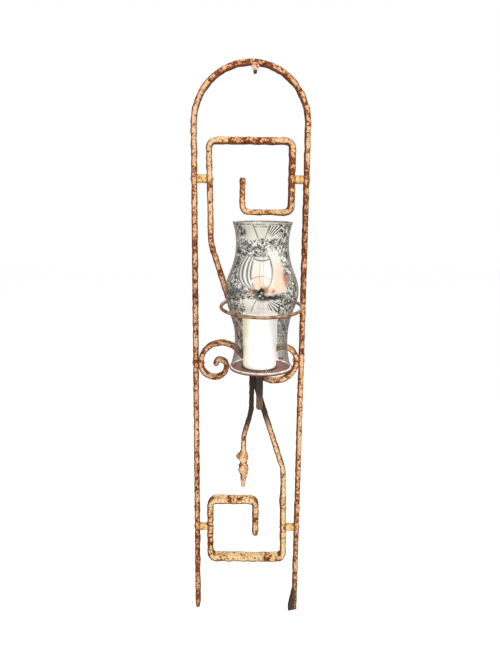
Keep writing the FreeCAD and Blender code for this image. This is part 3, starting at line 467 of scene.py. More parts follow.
def worn_paint_material(bars):
    """Cream paint, stained ochre and worn through to rust, with dark pits, painted shade and highlights on
    the edges, and painted shadow near the dish.
    """
    shader = new_shader("distressed_iron")
    front = shader.attribute("front")
    recess = shader.attribute("recess")
    painted_shadow = shader.attribute("painted_shadow")
    stirred = shader.warped(3 * MM, 5 * MM)
    patches = shader.noise(17 * MM, 2.0, 0.5)
    flakes = shader.noise(4.4 * MM, 4.0, 0.6, where=stirred)
    grit = shader.noise(1.7 * MM, 3.0, 0.6)
    specks = shader.noise(2.9 * MM, 2.0, 0.5, where=stirred)

    # faces that the painted light counts as lit keep a little more cream
    worn = flakes * 0.80 + patches * 0.36 + recess * 0.12 + shader.attribute("wear") - front * 0.08
    bare = worn.ramp(0.61, 0.65)
    stain = worn.ramp(0.52, 0.605)
    paint = shader.colour(shader.attribute("blush"), bars.cream, bars.blush)
    paint = shader.colour(stain, paint, bars.ochre)
    paint = shader.colour(grit.ramp(0.54, 0.66) * 0.5, paint, bars.rust)
    rusty = shader.colour(grit.ramp(0.44, 0.58), bars.rust, bars.dark)
    coat = shader.colour(bare, paint, rusty)
    spots = specks.ramp(0.60, 0.65)
    coat = shader.colour(spots * 0.9, coat, bars.dark)
    # painted shade on edges that face left or down, then a painted highlight in cream along the middle of
    # faces lit from the front and upper right
    shaded = shader.colour(grit.ramp(0.42, 0.6), bars.rust, bars.dark)
    coat = shader.colour(front.ramp(0.94, 0.76) * 0.95, coat, shaded)
    coat = shader.colour(front.ramp(0.965, 0.99) * (1 - bare) * 0.6, coat, bars.cream)
    # painted shadow under and behind the dish and on the right foot's inner flare
    shadowed_iron = shader.colour(grit.ramp(0.45, 0.65), bars.painted_shadow, bars.dark)
    coat = shader.colour(painted_shadow, coat, shadowed_iron)

    height = (1 - bare) * 0.5 + grit * 0.6 - spots * 0.5
    return shader.painted({
        "Base Color": coat,
        "Roughness": 0.52 + bare * 0.22 + grit * 0.1,
        "Normal": shader.bump(height, 0.5 * MM, 0.6),
    }, {"Specular IOR Level": 0.3})


def smooth(low, high, value):
    """0 at "low", 1 at "high", smooth between."""
    share = min(max((value - low) / (high - low), 0.0), 1.0)
    return share * share * (3 - 2 * share)


def painted_shadow_at(place, name):
    """How much painted shadow a bar has at a place: the dish's shadow under and behind it, and painted shade
    on the right foot's inner flare.
    """
    x, z = place.x / MM, place.z / MM
    if name == "hammered_tail":
        return smooth(-612, -568, z + 0.8 * (x + 10))
    if name == "hammered_scroll_rods":
        return smooth(-598, -560, z) * smooth(-440, -458, z) * smooth(-30, -20, x)
    if name == "hammered_s_scroll":
        return smooth(26, 14, abs(x - 2))
    return 0.95 * smooth(-893, -915, z) * smooth(60, 72, x) * smooth(90, 82, x)


def wear_at(place):
    """How much more a bar is worn at a place than the rest. The legs are worn all along."""
    x, z = place.x / MM, place.z / MM
    legs = 0.035 * smooth(72, 80, abs(x + 6)) * smooth(-120, -160, z)
    return legs + sum(amount * math.exp(-((x - at_x) ** 2 + (z - at_z) ** 2) / reach ** 2)
                      for at_x, at_z, reach, amount in WORN_PLACES)


def blush_at(place, name):
    """How reddened the paint is at a place."""
    if name == "hammered_scroll_rods":
        return 0.6 * smooth(-0.66, -0.56, place.z)
    return {"hammered_arch": 0.75, "hammered_tail": 1.0}.get(name, 0.6)


def stout_at(place):
    """How much thicker than drawn a bar is at a place, to each side."""
    x, z = place.x / MM, place.z / MM
    return MM * max(
        amount * smooth(wide + 8, wide - 4, abs(x - at_x)) * smooth(high + 8, high - 4, abs(z - at_z))
        for at_x, at_z, wide, high, amount in STOUT_PLACES)


def flame_axis(places):
    """The upright middle line of the carved flame."""
    low = [place for place in places if place.z < FLAME_TOP - 45 * MM]
    return Vector((sum(place.x for place in low), sum(place.y for place in low), 0)) / len(low)


def flame_at(place, axis, bars):
    """How far the carved flame stands out at a place: two bulges and twisted grooves."""
    fall = (FLAME_TOP - place.z) / MM
    if fall < 0:
        return 0.0
    turn = math.atan2(place.x - axis.x, axis.y - place.y)
    away = math.hypot(place.x - axis.x, place.y - axis.y) / MM
    bulge = 0.8 * math.exp(-((fall - 15) / 8) ** 2) + 1.0 * math.exp(-((fall - 38) / 8.5) ** 2)
    lobe = 1.7 * math.exp(-((fall - 15) / 6) ** 2) * max(-math.sin(turn), 0) ** 2
    waist = 0.7 * math.exp(-((fall - 27) / 4) ** 2)
    groove = math.cos(turn + fall * 0.21) ** 10
    deep = smooth(4, 14, fall) * (1 - 0.45 * smooth(45, 68, fall))
    return (bars.bulge * (bulge + lobe - waist) - bars.groove_depth * groove * deep) * smooth(13, 8, away)


def round_tips(piece):
    """Smooths the corners off the hooks' cut ends."""
    bm = bmesh.new()
    bm.from_mesh(piece.data)
    for tip in HOOK_TIPS:
        near = [vert for vert in bm.verts if (vert.co - tip).length < TIP_REACH]
        for turn in range(TIP_TURNS if near else 0):
            bmesh.ops.smooth_vert(bm, verts=near, factor=0.5,
                                  use_axis_x=True, use_axis_y=True, use_axis_z=True)
    bm.to_mesh(piece.data)
    bm.free()


# front: painted light and shade of each vertex; the third name: painted shadow under and behind the dish
KEPT = ("front", "recess", "painted_shadow", "wear", "blush")


def spread_out(mesh, values, turns):
    """Evens out one number per vertex over its neighbours."""
    pairs = numpy.empty(len(mesh.edges) * 2, dtype=numpy.int32)
    mesh.edges.foreach_get("vertices", pairs)
    first, second = pairs.reshape(-1, 2).T
    count = numpy.bincount(pairs, minlength=len(values))
    for turn in range(turns):
        total = numpy.bincount(first, values[second], len(values))
        total += numpy.bincount(second, values[first], len(values))
        values = 0.5 * values + 0.5 * total / count
    return values


def hammer(piece, bars):
    """Beats a bar all over, and keeps as attributes what its paint depends on, painted light and shade and
    painted shadow among them.
    """
    mesh = piece.data
    kept = {name: numpy.zeros(len(mesh.vertices)) for name in KEPT}
    places = [vert.co.copy() for vert in mesh.vertices]
    normals = [vert.normal.copy() for vert in mesh.vertices]
    flame = piece.name == "hammered_tail"
    axis = flame_axis(places) if flame else None
    for index, (place, normal) in enumerate(zip(places, normals)):
        blow = noise.noise(place / bars.hammer_pitch)
        ripple = noise.noise(place / bars.ripple_pitch)
        rise = bars.swell + bars.hammer_depth * blow + bars.ripple_depth * ripple + stout_at(place)
        carved = flame_at(place, axis, bars) if flame else 0.0
        mesh.vertices[index].co = place + normal * (rise + carved)
        # painted light: faces to the front, up and to the right count as lit, faces to the left and down as
        # shaded; the carved flame is shaded less
        lit = max(abs(normal.y), normal.z * 0.95, normal.x * 0.8)
        kept["front"][index] = 0.55 + 0.45 * lit if flame and place.z < FLAME_TOP else lit
        kept["recess"][index] = 0.5 - blow * 0.6 - ripple * 0.5 + 0.8 * max(-carved / bars.groove_depth, 0.0)
        kept["painted_shadow"][index] = painted_shadow_at(place, piece.name)
        kept["wear"][index] = wear_at(place)
        kept["blush"][index] = blush_at(place, piece.name)
    kept["front"] = spread_out(mesh, kept["front"], 12)
    for name, values in kept.items():
        keep_numbers(mesh, name, values.astype(numpy.float32))


class SCONCE_OT_bars(Operator):
    """Hammers the arch, the scroll rods, the S-scroll and the tail, and paints them"""
    bl_idname = "sconce.bars"
    bl_label = "Hammered Bars"

    def execute(self, context):
        bars = context.scene.sconce_bars
        paint = worn_paint_material(bars)
        for name, nodes, grain in (
            ("hammered_arch", ("arch_frame",), bars.skin_grain),
            ("hammered_scroll_rods", ("upper_scroll_rod", "lower_scroll_rod"), bars.skin_grain),
            ("hammered_s_scroll", ("s_scroll",), bars.skin_grain),
            ("hammered_tail", ("torch_tail",), bars.fine_grain),
        ):
            piece = new_piece(node_copy(*nodes), name, paint, "frame", nodes)
            reskinned(piece, grain)
            round_tips(piece)
            hammer(piece, bars)
            piece.data.shade_smooth()
        return {"FINISHED"}


# ---------------------------------------------------------------- strap, ring and dish

def bare_iron_material(fittings):
    """Dark brown iron that also carries the dish's painted shadow; towards the strap's lower end it is rubbed
    and painted lighter, out of that shadow.
    """
    shader = new_shader("dark_iron")
    x, y, z = shader.axes()
    grain = shader.noise(5 * MM, 5.0, 0.6, where=shader.warped(4 * MM, 12 * MM))
    grit = shader.noise(1.6 * MM, 3.0, 0.6)
    # painted light: the strap lightens towards its lower end, out of the dish's shadow; the grain is real
    # rubbing
    low_end = z.ramp(STRAP_FOOT + 42 * MM, STRAP_FOOT + 8 * MM)
    rubbed_and_lit = (grain * 0.8 + low_end * 0.45).ramp(0.55, 0.85)
    coat = shader.colour(rubbed_and_lit, fittings.strap, fittings.strap_worn_and_lit)
    coat = shader.colour(grit.ramp(0.55, 0.7) * 0.6, coat, fittings.dish_dark)
    return shader.painted({
        "Base Color": coat,
        "Roughness": 0.42 + grain * 0.3,
        "Metallic": 0.25 * rubbed_and_lit,
        "Normal": shader.bump(grain + grit * 0.4, 0.4 * MM, 0.5),
    }, {"Specular IOR Level": 0.5})


def ring_material(fittings):
    """Bronze-brown coat with darker streaks, and painted shade on the wire's underside."""
    shader = new_shader("bronze_ring")
    streaks = shader.noise(9 * MM, 5.0, 0.6, where=shader.warped(3 * MM, 8 * MM))
    grit = shader.noise(1.3 * MM, 3.0, 0.6)
    coat = shader.colour(streaks.ramp(0.4, 0.66), fittings.bronze, fittings.bronze_dark)
    coat = shader.colour(grit.ramp(0.6, 0.75) * 0.5, coat, fittings.bronze_dark)
    # painted shade: faces turned downwards darken to dark dish brown
    coat = shader.colour(shader.attribute("under").ramp(0.25, 0.75) * 0.9, coat, fittings.dish_dark)
    return shader.painted({
        "Base Color": coat,
        "Roughness": 0.36 + streaks * 0.25,
        "Metallic": 0.2 + 0.15 * streaks,
        "Normal": shader.bump(grit, 0.2 * MM, 0.4),
    })


def dish_material(fittings):
    """Rust-brown dish, scorched in rings round the candle, with a painted contact shadow at the candle's
    foot, and a painted highlight on the rim's outer face above painted shade along its lower edge.
    """
    shader = new_shader("rust_brown_pan")
    x, y, z = shader.axes()
    middle = (PAN_LOW + PAN_HIGH) / 2
    across = x - middle.x
    along = y - middle.y
    radius = (across * across + along * along) ** 0.5
    blotches = shader.noise(11 * MM, 5.0, 0.6)
    turned = shader.noise(0.9 * MM, 2.0, 0.5, where=shader.node(
        "ShaderNodeCombineXYZ", {}, {"X": radius, "Y": blotches * (3 * MM), "Z": z}, "Vector"))
    grit = shader.noise(1.4 * MM, 3.0, 0.6)
    scorch = (blotches * 0.7 + turned * 0.3).ramp(0.46, 0.66)
    coat = shader.colour(scorch, fittings.dish, fittings.dish_dark)
    candle = (WAX_LOW + WAX_HIGH) / 2
    beside = x - candle.x
    before = y - candle.y
    gap = (beside * beside + before * before) ** 0.5 - (WAX_HIGH.x - WAX_LOW.x) / 2
    # painted contact shadow: near-black ring on the dish round the candle's foot
    coat = shader.colour(gap.ramp(4.5 * MM, 1.5 * MM), coat, fittings.candle_contact_shadow)
    outside = (PAN_HIGH.x - PAN_LOW.x) / 2
    rim = radius.ramp(outside - 0.9 * MM, outside - 0.3 * MM)
    # painted highlight in grey-brown on the rim's outer face, partly rubbed metal; below it, painted shade
    # darkens the rim's lower edge
    coat = shader.colour(rim * (0.55 + blotches * 0.4), coat, fittings.rubbed_rim_highlight)
    coat = shader.colour(rim * z.ramp(PAN_LOW.z + 2.6 * MM, PAN_LOW.z + 1.4 * MM), coat, fittings.dish_dark)
    return shader.painted({
        "Base Color": coat,
        "Roughness": 0.34 + blotches * 0.3,
        "Normal": shader.bump(turned * 0.6 + grit * 0.4, 0.25 * MM, 0.5),
    })


class SCONCE_OT_strap(Operator):
    """Hammers the strap behind the glass and the arm under the dish"""
    bl_idname = "sconce.strap"
    bl_label = "Strap and Arm"

    def execute(self, context):
        iron = bare_iron_material(context.scene.sconce_fittings)
        for node in ("back_strap", "pan_arm"):
            piece = new_piece(node_copy(node), f"hammered_{node}", iron, "frame", (node,))
            reskinned(piece, 0.6 * MM)
            dented(piece.data.vertices, 9 * MM, 0.35 * MM)
            piece.data.shade_smooth()
        return {"FINISHED"}


class SCONCE_OT_ring(Operator):
    """Makes the glass's wire ring with its worn coat"""
    bl_idname = "sconce.ring"
    bl_label = "Glass Ring"

    def execute(self, context):
        coat = ring_material(context.scene.sconce_fittings)
        middle = (RING_LOW + RING_HIGH) / 2
        radius = (RING_HIGH.x - RING_LOW.x) / 2 - RING_WIRE
        bm = spun(wire_section(radius, 0, RING_WIRE, 16), Vector(), 144, closed=True)
        bmesh.ops.rotate(bm, verts=bm.verts, cent=(0, 0, 0), matrix=Matrix.Rotation(RING_TILT, 3, "X"))
        bmesh.ops.translate(bm, verts=bm.verts, vec=middle)
        bm.normal_update()
        dented(bm.verts, 7 * MM, 0.25 * MM)
        wire = new_piece(bm, "glass_ring_wire", coat, "frame", ("glass_ring",))
        # how far each face turns down, for the ring's painted shade
        keep_numbers(wire.data, "under", [max(-vert.normal.z, 0.0) for vert in wire.data.vertices])
        return {"FINISHED"}


class SCONCE_OT_dish(Operator):
    """Turns the candle dish with its low rim"""
    bl_idname = "sconce.dish"
    bl_label = "Candle Dish"

    def execute(self, context):
        coat = dish_material(context.scene.sconce_fittings)
        middle = (PAN_LOW + PAN_HIGH) / 2
        centre = Vector((middle.x, middle.y, PAN_LOW.z))
        outside = (PAN_HIGH.x - PAN_LOW.x) / 2
        inside = outside - DISH_WALL
        rim = PAN_HIGH.z - PAN_LOW.z
        profile = (
            (0.0, DISH_FLOOR), (26 * MM, DISH_FLOOR), (inside - 2 * MM, DISH_FLOOR),
            (inside - 0.5 * MM, DISH_FLOOR + 0.2 * MM), (inside, DISH_FLOOR + 0.8 * MM),
            (inside + 0.05 * MM, rim - 0.25 * MM),
            (outside - 0.9 * MM, rim), (outside - 0.3 * MM, rim), (outside, rim - 0.3 * MM),
            (outside, 1.4 * MM), (outside - 0.5 * MM, 0.4 * MM), (outside - 1.5 * MM, 0.0), (0.0, 0.0),
        )
        bm = spun(profile, centre, 128)
        new_piece(bm, "turned_candle_pan", coat, "frame", ("candle_pan",))
        return {"FINISHED"}


# ---------------------------------------------------------------- spacers, rivets and screw

def cream_material(name, fresh, stained, worn, shade=None):
    """Thick yellowed paint over iron, chipped, with painted shade where the surface is seen edge on. "shade"
    is a depth and the dark colour of the painted shadow behind it.
    """
    shader = new_shader(name)
    patches = shader.noise(5 * MM, 4.0, 0.6, where=shader.warped(3 * MM, 6 * MM))
    grit = shader.noise(1.1 * MM, 3.0, 0.6)
    coat = shader.colour(patches.ramp(0.42, 0.62), fresh, stained)
    chips = (patches * 0.6 + grit * 0.4).ramp(0.56, 0.62)
    coat = shader.colour(chips, coat, worn)
    # painted shade: outlines darken towards the worn colour where the surface is seen edge on
    coat = shader.colour(shader.rim(0.5, 0.85) * 0.75, coat, worn)
    if shade is not None:
        depth, dark = shade
        x, y, z = shader.axes()
        coat = shader.colour(y.ramp(depth, depth + 1.2 * MM) * 0.92, coat, dark)
    return shader.painted({
        "Base Color": coat,
        "Roughness": 0.5 + chips * 0.25,
        "Normal": shader.bump((1 - chips) + grit * 0.5, 0.3 * MM, 0.5),
    }, {"Specular IOR Level": 0.35})


def beaten(node, name, material, pitch, depth, sharp_angle):
    """A CAD node of the frame with a finer mesh, dented all over."""
    bm = node_copy(node)
    bmesh.ops.subdivide_edges(bm, edges=bm.edges, cuts=1, use_grid_fill=True)
    bm.normal_update()
    dented(bm.verts, pitch, depth)
    new_piece(bm, name, material, "frame", (node,), sharp_angle)


class SCONCE_OT_spacers(Operator):
    """Turns the spacers between legs and rod, and hammers every rivet's head"""
    bl_idname = "sconce.spacers"
    bl_label = "Spacers and Rivets"

    def execute(self, context):
        fittings = context.scene.sconce_fittings
        bars = context.scene.sconce_bars
        cream = cream_material("cream_spacer", fittings.spacer, bars.ochre, bars.rust)
        painted = cream_material("painted_rivet", bars.cream, bars.ochre, bars.rust)
        iron = cream_material("iron_rivet", fittings.strap, fittings.strap_worn_and_lit, fittings.dish_dark)
        for node in sorted(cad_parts):
            if "spacer_sleeve" in node:
                beaten(node, f"turned_{node}", cream, 5 * MM, 0.25 * MM, 40)
            elif node in ("strap_rivet", "arm_rivet", "pan_rivet"):
                beaten(node, f"peened_{node}", iron, 2.5 * MM, 0.3 * MM, 50)
            elif "rivet" in node:
                beaten(node, f"peened_{node}", painted, 2.5 * MM, 0.3 * MM, 50)
        return {"FINISHED"}


class SCONCE_OT_screw(Operator):
    """Softens and paints the hanging screw"""
    bl_idname = "sconce.screw"
    bl_label = "Hanging Screw"

    def execute(self, context):
        fittings = context.scene.sconce_fittings
        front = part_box("hanging_screw")[0].y
        coat = cream_material("painted_screw", fittings.screw, fittings.screw_dish,
                              context.scene.sconce_bars.rust, (front + 1.2 * MM, fittings.screw_shade))
        bm = node_copy("hanging_screw")
        bmesh.ops.dissolve_limit(bm, angle_limit=math.radians(2), verts=bm.verts, edges=bm.edges)
        sharp = [edge for edge in bm.edges
                 if len(edge.link_faces) == 2 and edge.calc_face_angle() > math.radians(40)]
        bmesh.ops.bevel(bm, geom=sharp, offset=0.35 * MM, offset_type="OFFSET", affect="EDGES",
                        segments=3, profile=0.5, material=-1, clamp_overlap=True)
        new_piece(bm, "painted_hanging_screw", coat, "screw", ("hanging_screw",), 35)
        return {"FINISHED"}


# ---------------------------------------------------------------- glass

def glass_material(glass):
    """Smoky lustre glass: crackled at throat and sides, with painted reflections of pale panes that carry
    thin dark leading, and white painted highlights.
    """
    shader = new_shader("lustre_glass")
    x, y, z = shader.axes()
    middle = (GLASS_LOW + GLASS_HIGH) / 2
    across = x - middle.x
    out = y - middle.y
    height = (z - GLASS_LOW.z) / MM
    angle = across.math("ARCTAN2", across, 0 - out) * (180 / math.pi)
    outside = shader.attribute("outside")
    front = out.ramp(2 * MM, -2 * MM) * outside

    stirred = shader.warped(5 * MM, 4 * MM)
    drift = shader.noise(13 * MM, 2.0, 0.5) - 0.5
    worms = shader.noise(glass.crackle_pitch, 1.0, 0.5, distortion=1.2, where=stirred)
    strokes = abs(shader.noise(glass.crackle_pitch * 1.3, 0.0, 0.5, distortion=0.8) - 0.5)
    clots = shader.noise(9 * MM, 2.0, 0.5)
    flecks = shader.noise(2.2 * MM, 2.0, 0.5)

    # a painted reflection of a barrel-shaped window in the belly, with its neighbours to the left
    window_height, window_half, window_angle = REFLECTED_WINDOW
    lift = (height - window_height) / window_half
    spread = (1 - lift * lift).most(0.01) ** 0.5 * window_angle
    rib = (angle + 2) / spread

    # where the painted reflections of pale panes lie; what is left between them is crackled
    wide = angle + drift * 26
    tall = height + drift * 16
    upper_reflection = wide.within(-42, -37, 31, 36) * tall.ramp(202, 206)
    belly_reflection = rib.ramp(-2.55, -2.35) * wide.ramp(45, 40) * tall.within(124, 130, 177, 182)
    throat_reflection = wide.within(6, 12, 30, 36) * tall.within(174, 178, 184, 190)
    ring_reflection = wide.within(-31, -27, 22, 26) * tall.within(90, 94, 115, 119)
    candle_pane = x.within(WAX_LOW.x - 1 * MM, WAX_LOW.x + 1 * MM, WAX_HIGH.x - 2 * MM, WAX_HIGH.x)
    candle_pane = candle_pane * height.ramp(98, 95)
    dome = ((angle + 3) * (angle + 3) / 26 ** 2 + (height - 91) * (height - 91) / 12.5 ** 2).ramp(1.12, 0.95)
    foot = height.ramp(50, 40)
    reflection = upper_reflection.most(belly_reflection).most(throat_reflection).most(ring_reflection) * (1 - dome)
    crackled = (1 - reflection.most(candle_pane).most(foot).most(dome)) * abs(wide).ramp(76, 68) * front

    # painted reflections of leading: the window's bars, three arcs, two fans and a few single lines, with
    # white painted highlights beside it
    bold = rib.bump_at(-1, 0.16) * clots.ramp(0.36, 0.42)
    bold = bold.most(rib.bump_at(1, 0.17))
    for place, width in REFLECTED_LEADING:
        bold = bold.most(rib.bump_at(place, width))
    faint = rib.bump_at(-0.16, 0.06).most(rib.bump_at(0.22, 0.06)) * 0.5
    inside = abs(rib).ramp(1.02, 0.95)
    dip = (angle + 2) * (angle + 2)
    arcs = (height - 172.8 - dip * 0.012).bump_at(0, 2.0)
    arcs = arcs.most((height - 151 + dip * 0.018).bump_at(0, 1.3) * 0.7)
    arcs = arcs.most((height - 181 + dip * 0.014).bump_at(0, 2.0) * flecks.ramp(0.44, 0.5))
    reflected_lines = bold.most(faint).most(arcs * inside) * height.within(129, 133, 180, 184) * angle.ramp(42, 38)
    gleam = belly_reflection * 0
    for place, width in REFLECTED_STRIPES:
        gleam = gleam.most(rib.bump_at(place, width) * belly_reflection)
    for root_angle, root_height, way, first, last in REFLECTED_FANS:
        run = (angle - root_angle) * 0.75
        rise = ((height - root_height) * way).most(0.01)
        lean = run.math("ARCTAN2", run, rise) * (180 / math.pi)
        turns = lean * (math.tau / FAN_PERIOD)
        rays = turns.math("SINE", turns)
        reach = (run * run + rise * rise) ** 0.5
        fan = lean.within(first - 3, first, last, last + 3) * reach.within(8, 10, 27, 31)
        fan = fan * (1 - dome) * height.within(94, 97, 223, 225)
        reflected_lines = reflected_lines.most(rays.ramp(-0.2, 0.3) * fan)
        gleam = gleam.most(rays.ramp(-0.2, -0.5) * fan)
    fall = 223.3 - height
    flare = (angle + 18.8 - fall * 0.48).bump_at(0, 2.6) * height.ramp(203, 206)
    flare = flare.most((angle - 12 + fall * 0.43).bump_at(0, 1.9) * height.ramp(203, 206) * 0.8)
    dash = height.bump_at(222.2, 1.6) * angle.within(-20, -18, 13, 16)
    flare = flare.most(dash * flecks.ramp(0.44, 0.5))
    edge_line = (angle + 12 - (height - 111) * 0.5).bump_at(0, 1.6) * height.within(97, 100, 118, 121)
    reflected_lines = reflected_lines.most(flare).most(edge_line) * front
    above_candle = (angle + 2).bump_at(0, 12) * height.bump_at(108, 15)
    gleam = gleam.most(dome * height.ramp(92, 95)).most(above_candle) * front

    def spots(places):
        return sum(angle.bump_at(at, wide_reach) * height.bump_at(high, tall_reach) * strength
                   for at, wide_reach, high, tall_reach, strength in places)

    # marks: worms of the crackle, dark clots round the reflected window's foot, burnt amber spots
    dark = worms.ramp(0.485, 0.45) * crackled
    light = strokes.ramp(0.045, 0.025).most(worms.ramp(0.59, 0.62)) * crackled
    light = light * (0.35 + height.ramp(70, 112) * 0.65)
    clot = (spots(CLOTS) * clots.ramp(0.32, 0.48) * front).least(1)
    burnt = (spots(BURNT) + spots(BURNT_FLECKS) * flecks.ramp(0.40, 0.47)).least(1) * front

    edge = shader.rim(0.30, 0.86)
    back_mouth = (1 - front) * height.ramp(196, 214)
    warmth = height.ramp(164, 140) * angle.ramp(-26, -8) + angle.ramp(8, 30) * height.ramp(182, 150)
    tint = shader.colour(height.ramp(186, 204).most(height.ramp(124, 112)), glass.pale, glass.throat)
    tint = shader.colour((warmth * height.ramp(112, 124)).least(1), tint, glass.peach)
    tint = shader.colour(crackled, tint, glass.crackle_mid)
    tint = shader.colour(foot, tint, glass.foot_smoke)
    tint = shader.colour(edge.most(back_mouth * 0.6), tint, glass.smoke)
    tint = shader.colour(light, tint, glass.crackle_light)
    tint = shader.colour(gleam, tint, glass.bead)
    tint = shader.colour(burnt, tint, glass.amber)
    # dark crackle, the painted reflected lines and the clots share the dark crackle colour
    tint = shader.colour(dark.most(reflected_lines).most(clot), tint, glass.crackle_dark)

    grey_foot = foot * abs(angle).ramp(33, 42) * height.ramp(9, 22) * 0.36
    cover = reflection * front * 0.78
    cover = cover.most(grey_foot * front).most(edge * (0.35 + front * 0.5))
    for mark, strength in ((crackled, 0.8), (light, 0.9), (dark, 0.92), (reflected_lines, 0.92), (clot, 0.9),
                           (burnt, 0.85), (back_mouth, 0.36), (gleam, 0.9)):
        cover = cover.most(mark * strength)
    body = shader.surface({
        "Base Color": tint,
        "Roughness": 0.14 + crackled * 0.2,
        "Alpha": cover.most(0.03).least(0.95),
        "Normal": shader.bump(worms * crackled, 0.5 * MM, 0.5),
    }, {"Specular IOR Level": 0.3})
    gloss = shader.node("ShaderNodeBsdfGlossy", {}, {"Color": (1.0, 1.0, 1.0), "Roughness": 0.05}, "BSDF")
    fresnel = shader.node("ShaderNodeFresnel", {}, {"IOR": 1.45}, "Fac")
    mixed = shader.node("ShaderNodeMixShader", {}, {0: fresnel * 0.25, 1: body, 2: gloss}, "Shader")
    return shader.finish(mixed)


def bead_material(glass):
    """The ground and fire-polished foot of the glass, with a painted glow for the light it catches, stronger
    towards the back.
    """
    shader = new_shader("glass_foot")
    haze = shader.noise(6 * MM, 3.0, 0.5)
    x, y, z = shader.axes()
    middle = (GLASS_LOW.y + GLASS_HIGH.y) / 2
    coat = shader.colour(haze.ramp(0.45, 0.85), glass.bead, glass.smoke)
    # painted highlight: the bead glows in its own colour, about a third as strongly at the front as at the
    # back
    glow = shader.colour(y.ramp(middle - 25 * MM, middle) * 0.65 + 0.35, (0.0, 0.0, 0.0), coat)
    return shader.painted({
        "Base Color": coat,
        "Roughness": 0.12 + haze * 0.2,
        "Emission Color": glow,
    }, {"Specular IOR Level": 0.8, "Coat Weight": 0.6, "Emission Strength": 1.0})


def rim_material(glass):
    """The fire-polished rim: grey-green above, with a browned line at its inner edge."""
    shader = new_shader("glass_rim")
    x, y, z = shader.axes()
    haze = shader.noise(8 * MM, 3.0, 0.5)
    low = z.ramp(GLASS_HIGH.z - 1.3 * MM, GLASS_HIGH.z - 2.1 * MM)
    coat = shader.colour(haze.ramp(0.35, 0.7), glass.crackle_mid, glass.throat)
    coat = shader.colour(low, coat, glass.crackle_dark)
    return shader.painted({
        "Base Color": coat,
        "Roughness": 0.15 + haze * 0.2,
    }, {"Specular IOR Level": 0.5})


class SCONCE_OT_glass(Operator):
    """Blows the hurricane glass and its foot"""
    bl_idname = "sconce.glass"
    bl_label = "Hurricane Glass"

    def execute(self, context):
        glass = context.scene.sconce_glass
        middle = (GLASS_LOW + GLASS_HIGH) / 2
        foot = Vector((middle.x, middle.y, GLASS_LOW.z))
        outside = [(radius * MM, height * MM) for height, radius in GLASS_PROFILE]
        inside = [(radius - GLASS_WALL, height) for radius, height in reversed(outside)]
        rim = [(outside[-1][0] - 0.2 * GLASS_WALL, outside[-1][1]),
               (inside[0][0] + 0.2 * GLASS_WALL, inside[0][1])]
        outside[-1] = (outside[-1][0], outside[-1][1] - 0.5 * MM)
        inside[0] = (inside[0][0], inside[0][1] - 0.5 * MM)
        outside[0] = (outside[0][0], outside[0][1] + 1.6 * MM)
        inside[-1] = (inside[-1][0], inside[-1][1] + 1.6 * MM)
        bm = spun(outside + rim + inside, foot, 96, closed=True)
        shade = new_piece(bm, "blown_hurricane_glass", glass_material(glass), "glass",
                          ("hurricane_glass",))
        curved(shade)
        flat = Vector((1, 1, 0))
        keep_numbers(shade.data, "outside", [
            smooth(-0.2, 0.3, vert.normal.dot(((vert.co - middle) * flat).normalized()))
            for vert in shade.data.vertices])
        rim_radius, rim_height = outside[-1]
        rim_section = wire_section(rim_radius - GLASS_WALL / 2, rim_height - 0.7 * MM, RIM_WIRE)
        bm = spun(rim_section, foot, 128, closed=True)
        new_piece(bm, "glass_rim_bead", rim_material(glass), "glass")

        half = GLASS_WALL / 2 - 0.05 * MM
        bm = spun(wire_section(outside[0][0] - GLASS_WALL / 2, half, half), foot, 128, closed=True)
        new_piece(bm, "glass_foot_bead", bead_material(glass), "glass")
        return {"FINISHED"}


# ---------------------------------------------------------------- candle

def wax_material(candle):
    """Smooth ivory wax, warmer towards its foot, with painted shade in warm yellow on its left side and a
    painted glow all over.
    """
    shader = new_shader("ivory_wax")
    x, y, z = shader.axes()
    cloud = shader.noise(18 * MM, 4.0, 0.55)
    grain = shader.noise(1.2 * MM, 3.0, 0.5)
    # painted shade: the left side, away from the key lamp, turns warm yellow
    shaded_left = x.ramp(WAX_LOW.x + 16 * MM, WAX_LOW.x)
    foot = z.ramp(WAX_LOW.z + 8 * MM, WAX_LOW.z)
    coat = shader.colour((shaded_left * 0.8 + foot * 0.4 + cloud * 0.3).ramp(0.2, 1.0), candle.wax, candle.wax_warm_and_shaded)
    return shader.painted({
        "Base Color": coat,
        "Roughness": 0.42 + cloud * 0.15,
        "Normal": shader.bump(cloud + grain * 0.15, 0.4 * MM, 0.3),
        # painted glow: the wax emits its own colour though the candle is unlit
        "Emission Color": coat,
    }, {"Subsurface Weight": 0.15, "Subsurface Radius": (1.0, 0.8, 0.5), "Subsurface Scale": 4 * MM,
        "Specular IOR Level": 0.4, "Emission Strength": candle.glow})


def wick_material(candle):
    """Braided cotton."""
    shader = new_shader("wick_cotton")
    x, y, z = shader.axes()
    wound = (x + z) * (math.tau / (1.1 * MM))
    strands = wound.math("SINE", wound)
    fuzz = shader.noise(0.5 * MM, 3.0, 0.6)
    coat = shader.colour(strands.ramp(-0.9, 0.5), candle.wick_shade, candle.wick)
    return shader.painted({
        "Base Color": coat,
        "Roughness": 0.85 + fuzz * 0.1,
        "Normal": shader.bump(strands * 0.5 + fuzz, 0.2 * MM, 0.6),
    })


